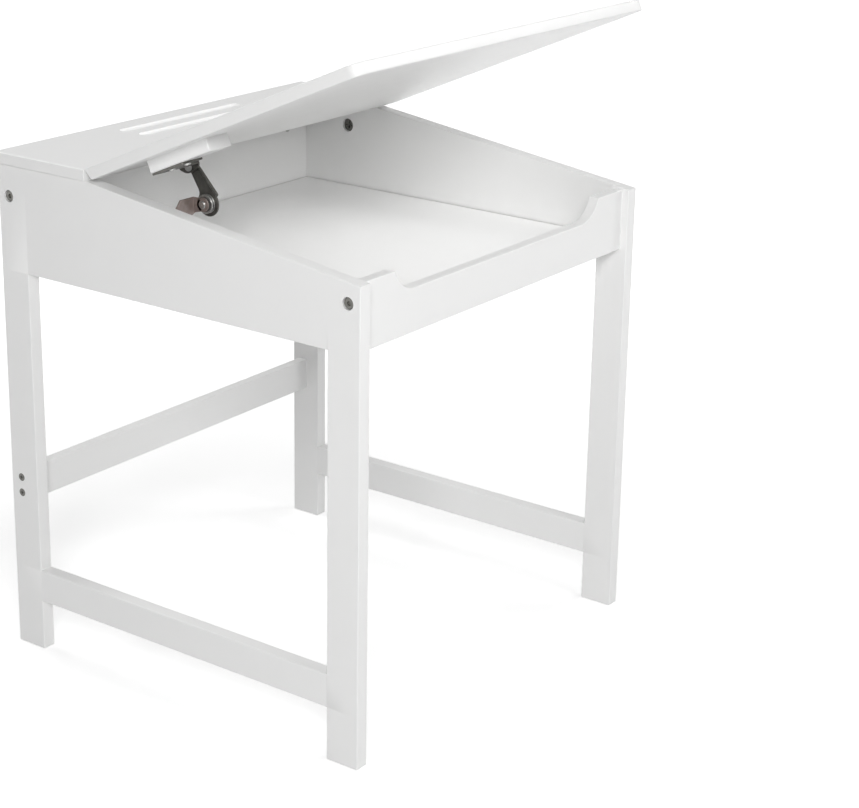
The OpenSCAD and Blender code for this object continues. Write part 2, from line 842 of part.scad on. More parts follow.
module stay_discs() {
  first_x = base_ear_x + sheet_t;
  color(ZINC)
    for (i = [0 : disc_count - 1])
      difference() {
        rod_x(disc_r, first_x + i * (disc_t + ring_t) + ring_t, disc_t, stay_y, stay_z);
        rod_x(rivet_r, first_x, stack_len + 1, stay_y, stay_z);
      }
}

ring_set_back = 2;

module stay_friction_rings() {
  first_x = base_ear_x + sheet_t;
  color(FIBRE)
    for (i = [0 : disc_count - 1])
      difference() {
        rod_x(disc_r - ring_set_back, first_x + i * (disc_t + ring_t), ring_t, stay_y, stay_z);
        rod_x(rivet_r, first_x - 1, stack_len + 2, stay_y, stay_z);
      }
}

rivet_head_r = 4;
rivet_head_t = 1.5;

module stay_rivet() {
  right = arm_x + sheet_t / 2 + fit_gap;
  color(ZINC) {
    rod_x(rivet_r, base_ear_x, right - base_ear_x, stay_y, stay_z);
    rod_x(rivet_head_r, base_ear_x - rivet_head_t, rivet_head_t, stay_y, stay_z);
    rod_x(rivet_head_r, right, rivet_head_t, stay_y, stay_z);
  }
}

waist_in = 1.2;
waist_top = 12;
waist_low = 6;
heel_a = 40;
heel_h = 1.6;

// The arm's blank, lying along +Y from its lower pivot: one straight edge and a waist
// on the other side
module arm_blank() {
  lean = asin((lobe_r - arm_end_r) / arm_len);
  waist = arm_end_r - waist_in;
  r1 = lobe_r - past;
  r2 = arm_end_r - past;
  rod_x(lobe_r, arm_left, sheet_t, 0, 0);
  rod_x(arm_end_r, arm_left, sheet_t, arm_len, 0);
  along_x(arm_left, sheet_t)
    polygon([[r1 * sin(lean), r1 * cos(lean)], [arm_len + r2 * sin(lean), r2 * cos(lean)],
             [arm_len, -r2], [arm_len - waist_top, -waist], [lobe_r + waist_low, -waist],
             [lobe_r + 1, -waist - heel_h], [r1 * cos(heel_a), -r1 * sin(heel_a)]]);
}

module at_arm() {
  translate([0, stay_y, stay_z]) rotate([arm_rest_a, 0, 0]) children();
}

module stay_arm() {
  color(DARK_STEEL) at_arm() difference() {
    arm_blank();
    rod_x(rivet_r + fit_gap, arm_left - 1, sheet_t + 2, 0, 0);
    rod_x(arm_pin_r, arm_left - 1, sheet_t + 2, arm_len, 0);
  }
}

pin_collar_rim = 1.5;
pin_collar_t = 1;

// The arm's upper pin: a shank through the lid bracket's slot, a head and a collar
module stay_pin() {
  head_x = lid_ear_x - edge_gap - pin_head_t;
  color(ZINC) at_arm() {
    rod_x(arm_pin_r, head_x, arm_x + sheet_t / 2 - head_x, arm_len, 0);
    rod_x(pin_head_r, head_x, pin_head_t, arm_len, 0);
    rod_x(arm_pin_r + pin_collar_rim, arm_x + sheet_t / 2, pin_collar_t, arm_len, 0);
  }
}

// Places on the lid bracket, in the lid's frame
block_low = lid_under - block_t;
plate_low = block_low - sheet_t;
pin_head_rim = 1.5;
pin_head_r = slot_r + pin_head_rim;
strip_gap = 0.8;
strip_w = 8;
strip_rear = slot_a[0] - pin_head_r - strip_gap;
strip_front = strip_rear - strip_w;
plate_set_in = 3;
plate_front = -block_start - block_len / 2;
ear_wall = 3;
lid_ear_rear = slot_b[0] + slot_r + ear_wall;
lid_ear_low = slot_a[1] - slot_r - ear_wall;
plate_screw_edge = 6;
plate_screw_pitch = 21;

// Screws through the lid bracket's plate into the block
module lid_bracket_screw_places() {
  front = plate_front + plate_screw_edge;
  for (y = [front, front + plate_screw_pitch])
    translate([block_x + block_w / 2, y, plate_low]) rotate([0, -90, 0]) children();
}

// The lid bracket: a plate under the block, a strip to its right and an ear with the pin's slot
module stay_lid_bracket() {
  plate_x = block_x + plate_set_in;
  rim = slot_r + ear_wall;
  color(DARK_STEEL) on_lid() difference() {
    union() {
      translate([plate_x, plate_front, plate_low])
        cube([block_w - plate_set_in, strip_rear - plate_front, sheet_t]);
      translate([plate_x, strip_front, plate_low]) cube([lid_ear_x + sheet_t - plate_x, strip_w, sheet_t]);
      along_x(lid_ear_x, sheet_t)
        polygon([[strip_front, plate_low - ear_wall], [strip_front, block_low + sheet_t],
                 [slot_b[0] - rim, lid_under - lid_ear_gap], [lid_ear_rear, lid_under - lid_ear_gap],
                 [lid_ear_rear, slot_b[1] - rim], [slot_a[0] + rim, lid_ear_low],
                 [slot_a[0] - rim, lid_ear_low]]);
    }
    along_x(lid_ear_x - 1, sheet_t + 2)
      translate(slot_a) rotate(slot_turn) translate([0, slot_mid]) {
        circle(r = slot_r);
        translate([slot_end, 0]) circle(r = slot_r);
        translate([0, -slot_r]) square([slot_end, 2 * slot_r]);
      }
    lid_bracket_screw_places() rotate([0, 90, 0]) cylinder(r = stay_screw_r, h = sheet_t + 1);
  }
}

module stay_lid_screws() {
  color(ZINC) on_lid() lid_bracket_screw_places()
    pan_screw(stay_screw_head_r, stay_screw_head_t, stay_screw_r, stay_screw_len);
}

left_front_leg();
left_rear_leg();
left_side_panel();
left_lower_rail();
right_front_leg();
right_rear_leg();
right_side_panel();
right_lower_rail();
front_board();
back_board();
bottom_panel();
rear_stretcher();
top_shelf();
lid();
frame_dowels();
board_dowels();
floor_dowels();
shelf_dowels();
connector_bolts();
barrel_nuts();
stretcher_screws();
cam_locks();
cam_bolts();
hinge_fixed_leaves();
hinge_moving_leaves();
hinge_pins();
hinge_shelf_screws();
hinge_lid_screws();
stay_block();
block_screws();
stay_base_bracket();
stay_base_screws();
stay_discs();
stay_friction_rings();
stay_rivet();
stay_arm();
stay_pin();
stay_lid_bracket();
stay_lid_screws();
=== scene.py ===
"""A child's lift-top desk in white lacquer, dressed over its packed construction.

The wooden pieces are modelled again with the softened edges of lacquered board, the lid stay and
the visible fasteners get their pressed and turned forms, and the hidden pieces keep their solids.
"""

import itertools
import json
import logging
import math
from collections.abc import Callable, Sequence
from dataclasses import dataclass, field
from enum import Enum

import bmesh
import bpy
from mathutils import Matrix, Vector


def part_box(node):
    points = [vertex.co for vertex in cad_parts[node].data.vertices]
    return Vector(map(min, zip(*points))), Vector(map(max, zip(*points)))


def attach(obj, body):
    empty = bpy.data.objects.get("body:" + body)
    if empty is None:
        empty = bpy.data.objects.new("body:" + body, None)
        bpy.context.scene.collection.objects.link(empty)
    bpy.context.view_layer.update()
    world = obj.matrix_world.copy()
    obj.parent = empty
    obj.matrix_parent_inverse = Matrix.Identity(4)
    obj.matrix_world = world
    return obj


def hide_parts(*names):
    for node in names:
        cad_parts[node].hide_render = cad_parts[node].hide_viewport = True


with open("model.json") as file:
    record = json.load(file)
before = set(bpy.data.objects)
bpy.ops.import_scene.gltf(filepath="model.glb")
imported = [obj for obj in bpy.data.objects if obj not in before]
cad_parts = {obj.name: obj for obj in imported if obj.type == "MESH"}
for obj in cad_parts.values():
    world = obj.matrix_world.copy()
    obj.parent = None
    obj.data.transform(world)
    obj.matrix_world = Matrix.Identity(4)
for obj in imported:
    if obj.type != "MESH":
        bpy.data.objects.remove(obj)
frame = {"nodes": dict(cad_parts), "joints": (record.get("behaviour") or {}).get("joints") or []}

LOG = logging.getLogger("desk")

MM = 0.001
# How far a cutting tool reaches past the face that it cuts.
PAST = 1 * MM
# Places nearer than this are one place.
SAME = 0.001 * MM
# An edge nearer to a face than this belongs to it.
CLOSE = 0.5 * MM
# The radii of the connector bolts' heads and of their barrel nuts.
BOLT_HEAD_R = 5.4 * MM
NUT_R = 5 * MM

Colour = tuple[float, float, float]
EdgeTest = Callable[[bmesh.types.BMEdge], bool]


class Body(Enum):
    """The bodies that the pieces ride on."""

    DESK = "desk"
    LID = "lid"
    ARM = "stay_arm"


class Slot(Enum):
    """The record's material slots."""

    WHITE = "white_lacquer"
    BEECH = "beech"
    ZINC = "zinc_steel"
    BROWN = "brown_steel"
    DARK = "dark_steel"
    FIBRE = "fibre"


class Axis(Enum):
    """The direction that a round bar runs in, as Euler angles of a bar along +Z."""

    X = (0.0, math.pi / 2, 0.0)
    Y = (-math.pi / 2, 0.0, 0.0)
    Z = (0.0, 0.0, 0.0)


class Side(Enum):
    """The left or right of the desk, as the sign of X."""

    LEFT = -1
    RIGHT = 1


class How(Enum):
    """What a tool does to the mesh that it works on."""

    CUT = "DIFFERENCE"
    JOIN = "UNION"


# ---------------------------------------------------------------- the bench


class Bench:
    """The modelling steps that the pieces share, each one done with bpy.ops."""

    @staticmethod
    def only(obj: bpy.types.Object) -> None:
        """Selects one object alone and makes it active.

        Args:
            obj: The object to work on.
        """
        bpy.ops.object.select_all(action="DESELECT")
        obj.select_set(True)
        bpy.context.view_layer.objects.active = obj

    @staticmethod
    def settle(obj: bpy.types.Object) -> None:
        """Moves an object's place, turn and scale into its mesh.

        Args:
            obj: The object to settle at the origin.
        """
        Bench.only(obj)
        bpy.ops.object.transform_apply(location=True, rotation=True, scale=True)

    @staticmethod
    def block(name: str, low: Sequence[float], high: Sequence[float]) -> bpy.types.Object:
        """Adds a rectangular block between two corners.

        Args:
            name: The object's name.
            low: Its lowest corner.
            high: Its highest corner.

        Returns:
            The new object.
        """
        bpy.ops.object.select_all(action="DESELECT")
        centre = [(a + b) / 2 for a, b in zip(low, high)]
        bpy.ops.mesh.primitive_cube_add(size=1, location=centre)
        obj = bpy.context.object
        obj.name = name
        obj.scale = [b - a for a, b in zip(low, high)]
        Bench.settle(obj)
        return obj

    @staticmethod
    def rod(
        name: str,
        base: Sequence[float],
        axis: Axis,
        radius: float,
        length: float,
        tip: float | None = None,
        sides: int = 48,
    ) -> bpy.types.Object:
        """Adds a round bar or a cone from its base.

        Args:
            name: The object's name.
            base: The middle of its base.
            axis: The direction that it runs in.
            radius: Its radius at the base.
            length: Its length. A negative length runs the other way.
            tip: Its radius at the tip, where that differs.
            sides: The number of its sides.

        Returns:
            The new object.
        """
        bpy.ops.object.select_all(action="DESELECT")
        along = Matrix.Rotation(axis.value[1], 3, "Y") @ Matrix.Rotation(axis.value[0], 3, "X")
        centre = Vector(base) + along @ Vector((0, 0, length / 2))
        ends = (radius, radius if tip is None else tip)
        if length < 0:
            ends = ends[::-1]
        bpy.ops.mesh.primitive_cone_add(
            vertices=sides,
            radius1=ends[0],
            radius2=ends[1],
            depth=abs(length),
            location=centre,
            rotation=axis.value,
        )
        obj = bpy.context.object
        obj.name = name
        Bench.settle(obj)
        return obj

    @staticmethod
    def ball(name: str, centre: Sequence[float], radius: float) -> bpy.types.Object:
        """Adds a sphere.

        Args:
            name: The object's name.
            centre: Its middle.
            radius: Its radius.

        Returns:
            The new object.
        """
        bpy.ops.object.select_all(action="DESELECT")
        bpy.ops.mesh.primitive_uv_sphere_add(segments=48, ring_count=24, radius=radius, location=centre)
        obj = bpy.context.object
        obj.name = name
        Bench.settle(obj)
        return obj

    @staticmethod
    def bisect(
        obj: bpy.types.Object, point: Sequence[float], normal: Sequence[float], remove: bool = False
    ) -> None:
        """Cuts a mesh with a plane, and can take away what lies on the normal's side.

        Args:
            obj: The object to cut.
            point: A point on the plane.
            normal: The plane's normal.
            remove: Whether the outer side is removed and the cut closed.
        """
        Bench.only(obj)
        bpy.ops.object.mode_set(mode="EDIT")
        bpy.ops.mesh.select_all(action="SELECT")
        bpy.ops.mesh.bisect(
            plane_co=point,
            plane_no=Vector(normal).normalized(),
            use_fill=remove,
            clear_outer=remove,
            threshold=SAME,
        )
        bpy.ops.object.mode_set(mode="OBJECT")

    @staticmethod
    def bevel(obj: bpy.types.Object, width: float, chosen: EdgeTest, steps: int = 3) -> None:
        """Rounds the chosen edges of a mesh.

        Args:
            obj: The object whose edges are rounded.
            width: The width of the rounding.
            chosen: Says of an edge whether it is rounded.
            steps: The number of faces across the rounding.
        """
        Bench.only(obj)
        bpy.ops.object.mode_set(mode="EDIT")
        bpy.ops.mesh.select_mode(type="EDGE")
        bpy.ops.mesh.select_all(action="DESELECT")
        mesh = bmesh.from_edit_mesh(obj.data)
        for edge in mesh.edges:
            edge.select_set(len(edge.link_faces) == 2 and chosen(edge))
        bmesh.update_edit_mesh(obj.data)
        bpy.ops.mesh.bevel(offset=width, segments=steps, affect="EDGES", clamp_overlap=False)
        bpy.ops.object.mode_set(mode="OBJECT")

    @staticmethod
    def combine(obj: bpy.types.Object, *tools: bpy.types.Object, how: How = How.CUT) -> None:
        """Cuts a mesh with tools or joins them to it, one after the other. The tools are used up.

        Args:
            obj: The object to work on.
            *tools: The objects that work on it.
            how: What the tools do.
        """
        Bench.only(obj)
        for tool in tools:
            modifier = obj.modifiers.new("combine", "BOOLEAN")
            modifier.operation = how.value
            modifier.solver = "EXACT"
            modifier.object = tool
            bpy.ops.object.modifier_apply(modifier=modifier.name)
            bpy.data.objects.remove(tool, do_unlink=True)

    @staticmethod
    def heal(obj: bpy.types.Object, reach: float = 2 * SAME) -> None:
        """Melts the slivers that cuts and roundings can leave in a mesh.

        Args:
            obj: The object to heal.
            reach: The length under which an edge is melted.
        """
        Bench.only(obj)
        bpy.ops.object.mode_set(mode="EDIT")
        bpy.ops.mesh.select_all(action="SELECT")
        bpy.ops.mesh.remove_doubles(threshold=reach)
        bpy.ops.mesh.dissolve_degenerate(threshold=reach)
        bpy.ops.object.mode_set(mode="OBJECT")
        if obj.data.validate():
            LOG.info("%s: faces without an area were taken out", obj.name)

    @staticmethod
    def smooth(obj: bpy.types.Object, angle: float = 38.0) -> None:
        """Shades a mesh smooth up to an angle, with its flat faces kept flat.

        Args:
            obj: The object to shade.
            angle: The sharpest edge that is shaded smooth, in degrees.
        """
        Bench.only(obj)
        bpy.ops.object.shade_smooth_by_angle(angle=math.radians(angle))
        modifier = obj.modifiers.new("flats", "WEIGHTED_NORMAL")
        modifier.keep_sharp = True
        modifier.weight = 80
        bpy.ops.object.modifier_apply(modifier=modifier.name)

    @staticmethod
    def turn(obj: bpy.types.Object, matrix: Matrix) -> None:
        """Moves a mesh by a matrix and settles it.

        Args:
            obj: The object to move.
            matrix: Where its own frame goes.
        """
        obj.matrix_world = matrix @ obj.matrix_world
        Bench.settle(obj)

    @staticmethod
    def join(name: str, parts: Sequence[bpy.types.Object]) -> bpy.types.Object:
        """Makes several meshes one object.

        Args:
            name: The new object's name.
            parts: The objects to join.

        Returns:
            The joined object.
        """
        bpy.ops.object.select_all(action="DESELECT")
        for part in parts:
            part.select_set(True)
        bpy.context.view_layer.objects.active = parts[0]
        if len(parts) > 1:
            bpy.ops.object.join()
        parts[0].name = name
        return parts[0]


def edge_middle(edge: bmesh.types.BMEdge) -> Vector:
    """Gives the middle of an edge."""
    return (edge.verts[0].co + edge.verts[1].co) / 2


def edge_runs(edge: bmesh.types.BMEdge, axis: int) -> bool:
    """Says whether an edge runs along one axis."""
    span = edge.verts[0].co - edge.verts[1].co
    return abs(span[axis]) > 0.99 * span.length


def is_sharp(edge: bmesh.types.BMEdge, degrees: float = 35.0) -> bool:
    """Says whether the two faces at an edge meet at a sharp angle."""
    return edge.calc_face_angle(0.0) > math.radians(degrees)


def near(a: float, b: float, slack: float = 0.2 * MM) -> bool:
    """Says whether two places are the same, but for some slack."""
    return abs(a - b) < slack


def middle_of(node: str) -> list[float]:
    """Gives the middle of a node's box."""
    return [(low + high) / 2 for low, high in zip(*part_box(node))]


def bolt_heights() -> tuple[float, float]:
    """Gives the heights of the front and of the rear connector bolts."""
    low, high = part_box("connector_bolts")
    return low[2] + BOLT_HEAD_R, high[2] - BOLT_HEAD_R


# ---------------------------------------------------------------- the finishes


class NodeKit:
    """A material's node tree, with the few steps that the finishes share."""

    def __init__(self, name: str) -> None:
        """Makes a material with a Principled shader.

        Args:
            name: The material's name.
        """
        self.material = bpy.data.materials.new(name)
        self.material.use_nodes = True
        self.tree = self.material.node_tree
        self.shader = self.tree.nodes["Principled BSDF"]
        self.place = self.tree.nodes.new("ShaderNodeTexCoord").outputs["Object"]

    def node(self, kind: str, **values: object) -> bpy.types.Node:
        """Adds a node and sets its properties.

        Args:
            kind: The node's type.
            **values: Its properties by name.

        Returns:
            The new node.
        """
        made = self.tree.nodes.new(kind)
        for name, value in values.items():
            setattr(made, name, value)
        return made

    def link(self, source: bpy.types.NodeSocket, target: bpy.types.NodeSocket) -> None:
        """Joins two sockets."""
        self.tree.links.new(source, target)

    def feed(self, name: str, value: bpy.types.NodeSocket | float | Sequence[float]) -> None:
        """Gives one of the shader's sockets its value.

        Args:
            name: The socket's name.
            value: Another node's socket, or a constant.
        """
        if isinstance(value, bpy.types.NodeSocket):
            self.link(value, self.shader.inputs[name])
        else:
            self.shader.inputs[name].default_value = value

    def noise(
        self, scale: float, detail: float = 3.0, stretch: Sequence[float] = (1, 1, 1)
    ) -> bpy.types.NodeSocket:
        """Adds a noise on the piece's own place.

        Args:
            scale: The noise's scale, per metre.
            detail: Its detail.
            stretch: Its scale along each axis.

        Returns:
            The noise's value.
        """
        mapping = self.node("ShaderNodeMapping")
        mapping.inputs["Scale"].default_value = stretch
        texture = self.node("ShaderNodeTexNoise")
        texture.inputs["Scale"].default_value = scale
        texture.inputs["Detail"].default_value = detail
        self.link(self.place, mapping.inputs["Vector"])
        self.link(mapping.outputs["Vector"], texture.inputs["Vector"])
        return texture.outputs["Fac"]

    def spread(
        self, value: bpy.types.NodeSocket, low: float, high: float, start: float = 0.3, end: float = 0.7
    ) -> bpy.types.NodeSocket:
        """Maps a value to a range.

        Args:
            value: The value to map.
            low: The result at start.
            high: The result at end.
            start: The value that gives low.
            end: The value that gives high.

        Returns:
            The mapped value.
        """
        ranged = self.node("ShaderNodeMapRange")
        for name, number in zip(("From Min", "From Max", "To Min", "To Max"), (start, end, low, high)):
            ranged.inputs[name].default_value = number
        self.link(value, ranged.inputs["Value"])
        return ranged.outputs["Result"]

    def blend(self, share: bpy.types.NodeSocket, first: Colour, second: Colour) -> bpy.types.NodeSocket:
        """Mixes two colours. A mix of colours has them in its sockets 6 and 7, and its result in 2.

        Args:
            share: The share of the second colour.
            first: The first colour.
            second: The second colour.

        Returns:
            The mixed colour.
        """
        mix = self.node("ShaderNodeMix", data_type="RGBA")
        mix.inputs[6].default_value = (*first, 1)
        mix.inputs[7].default_value = (*second, 1)
        self.link(share, mix.inputs[0])
        return mix.outputs[2]

    def bump(self, height: bpy.types.NodeSocket, depth: float, strength: float = 1.0) -> None:
        """Adds a bump to the shader, over any earlier one.

        Args:
            height: The height, from 0 to 1.
            depth: The depth of the relief, in metres.
            strength: The bump's strength.
        """
        bump = self.node("ShaderNodeBump")
        bump.inputs["Strength"].default_value = strength
        bump.inputs["Distance"].default_value = depth
        self.link(height, bump.inputs["Height"])
        normal = self.shader.inputs["Normal"]
        if normal.is_linked:
            self.link(normal.links[0].from_socket, bump.inputs["Normal"])
        self.link(bump.outputs["Normal"], normal)


@dataclass(frozen=True)
class Finish:
    """A finish of the desk's pieces."""

    name: str

    def coat(self, kit: NodeKit) -> None:
        """Sets up the shader. Each kind of finish has its own way."""
        raise NotImplementedError

    def material(self) -> bpy.types.Material:
        """Makes the finish's material.

        Returns:
            The material.
        """
        kit = NodeKit(self.name)
        self.coat(kit)
        return kit.material


@dataclass(frozen=True)
class Lacquer(Finish):
    """White satin lacquer sprayed on board: a faint orange peel and a slightly uneven sheen."""

    name: str = "white satin lacquer"
    tone: Colour = (0.885, 0.885, 0.88)
    shade: Colour = (0.865, 0.865, 0.86)
    shade_scale: float = 9
    roughness: tuple[float, float] = (0.33, 0.45)
    sheen_scale: float = 60
    peel_scale: float = 650
    peel_depth: float = 0.03 * MM
    wave_scale: float = 45
    wave_depth: float = 0.12 * MM
    clear_coat: float = 0.12
    clear_roughness: float = 0.3

    def coat(self, kit: NodeKit) -> None:
        """Sets up the shader.

        Args:
            kit: The material's nodes.
        """
        kit.feed("Base Color", kit.blend(kit.noise(self.shade_scale, detail=4), self.tone, self.shade))
        kit.feed("Roughness", kit.spread(kit.noise(self.sheen_scale, detail=4), *self.roughness))
        kit.bump(kit.noise(self.peel_scale, detail=2), self.peel_depth, strength=0.35)
        kit.bump(kit.noise(self.wave_scale, detail=2), self.wave_depth, strength=0.25)
        kit.feed("Coat Weight", self.clear_coat)
        kit.feed("Coat Roughness", self.clear_roughness)


@dataclass(frozen=True)
class Grained(Finish):
    """A raw material whose grain or flecks show in its colour, its roughness and its relief."""

    tone: Colour
    grain_tone: Colour
    roughness: tuple[float, float]
    scale: float
    detail: float
    stretch: tuple[float, float, float]
    relief: float
    strength: float
    crisp: bool = False

    def coat(self, kit: NodeKit) -> None:
        """Sets up the shader.

        Args:
            kit: The material's nodes.
        """
        grain = kit.noise(self.scale, self.detail, self.stretch)
        share = kit.spread(grain, 0, 1) if self.crisp else grain
        kit.feed("Base Color", kit.blend(share, self.tone, self.grain_tone))
        kit.feed("Roughness", kit.spread(grain, *self.roughness))
        kit.bump(grain, self.relief, self.strength)


@dataclass(frozen=True)
class Steel(Finish):
    """Plated steel: cloudy tone, fine scratches and a satin sheen."""

    tone: Colour
    cloud: Colour
    metallic: float = 1.0
    roughness: tuple[float, float] = (0.25, 0.42)
    cloud_scale: float = 160
    scratch_scale: float = 900
    scratch_stretch: tuple[float, float, float] = (1, 1, 7)
    scratch_depth: float = 0.02 * MM

    def coat(self, kit: NodeKit) -> None:
        """Sets up the shader.

        Args:
            kit: The material's nodes.
        """
        clouds = kit.noise(self.cloud_scale, detail=5)
        kit.feed("Base Color", kit.blend(kit.spread(clouds, 0, 1), self.tone, self.cloud))
        scratches = kit.noise(self.scratch_scale, detail=3, stretch=self.scratch_stretch)
        kit.feed("Roughness", kit.spread(scratches, *self.roughness))
        kit.bump(scratches, self.scratch_depth, strength=0.4)
        kit.feed("Metallic", self.metallic)


ZINC = Steel("bright zinc plate", (0.62, 0.62, 0.61), (0.5, 0.5, 0.49))
DULL_ZINC = Steel("dull dark zinc", (0.19, 0.188, 0.175), (0.13, 0.128, 0.118), 0.9, (0.28, 0.45))
BROWN = Steel("dull brownish plate", (0.38, 0.32, 0.3), (0.31, 0.255, 0.235), 0.75, (0.4, 0.6))
DARK = Steel("dark plate", (0.17, 0.165, 0.152), (0.12, 0.117, 0.107), 0.85, (0.3, 0.5))
BEECH = Grained(
    name="raw beech",
    tone=(0.62, 0.44, 0.26),
    grain_tone=(0.48, 0.31, 0.17),
    roughness=(0.5, 0.7),
    scale=120,
    detail=6,
    stretch=(1, 6, 1),
    relief=0.1 * MM,
    strength=0.4,
)
FIBRE = Grained(
    name="friction fibre",
    tone=(0.03, 0.03, 0.03),
    grain_tone=(0.09, 0.085, 0.08),
    roughness=(0.75, 0.92),
    scale=1500,
    detail=4,
    stretch=(1, 1, 1),
    relief=0.05 * MM,
    strength=0.5,
    crisp=True,
)
# Dark brown with a grain, like bare board, on the floor's chamfers and cut edges: painted shadow for the gap
# between the floor and the walls.
FLOOR_EDGE_SHADE = Grained(
    name="floor edge painted as gap shadow",
    tone=(0.16, 0.11, 0.07),
    grain_tone=(0.08, 0.055, 0.035),
    roughness=(0.75, 0.9),
    scale=700,
    detail=5,
    stretch=(1, 1, 6),
    relief=0.1 * MM,
    strength=0.6,
)


class Paintbox:
    """The desk's finishes, each made once."""

    def __init__(self) -> None:
        """Makes one material for each of the record's slots, and two more."""
        finishes = {
            Slot.WHITE: Lacquer(),
            Slot.BEECH: BEECH,
            Slot.ZINC: ZINC,
            Slot.BROWN: BROWN,
            Slot.DARK: DARK,
            Slot.FIBRE: FIBRE,
        }
        self.finishes = {slot: finish.material() for slot, finish in finishes.items()}
        # The floor's dark edge finish, a painted shadow line at its joints to the walls.
        self.raw = FLOOR_EDGE_SHADE.material()
        self.dull = DULL_ZINC.material()

    def dress(
        self, piece: bpy.types.Object, slot: Slot, body: Body, nodes: Sequence[str], dull: bool = False
    ) -> bpy.types.Object:
        """Finishes a new piece and puts it in the place of its nodes.

        Args:
            piece: The new piece, at its place.
            slot: Its finish.
            body: The body that it rides on.
            nodes: The nodes that it stands for.
            dull: Whether plated steel is the dull dark kind.

        Returns:
            The piece.
        """
        Bench.settle(piece)
        Bench.heal(piece)
        Bench.smooth(piece)
        piece.data.materials.clear()
        piece.data.materials.append(self.dull if dull else self.finishes[slot])
        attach(piece, body.value)
        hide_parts(*nodes)
        LOG.info("%s: %d faces", piece.name, len(piece.data.polygons))
        return piece

    def repaint(self, node: str, slot: Slot) -> None:
        """Gives a node that keeps its solid a finish, which is the dull kind for the hinges.

        Args:
            node: The node's name.
            slot: Its finish.
        """
        for material_slot in frame["nodes"][node].material_slots:
            material_slot.material = self.dull if node.startswith("hinge") else self.finishes[slot]
        LOG.info("%s: keeps its solid", node)


# ---------------------------------------------------------------- the wooden pieces


@dataclass
class Softening:
    """How much the edges of the lacquered boards are rounded."""

    board: float = 1.0 * MM
    top: float = 1.6 * MM
    floor: float = 0.5 * MM


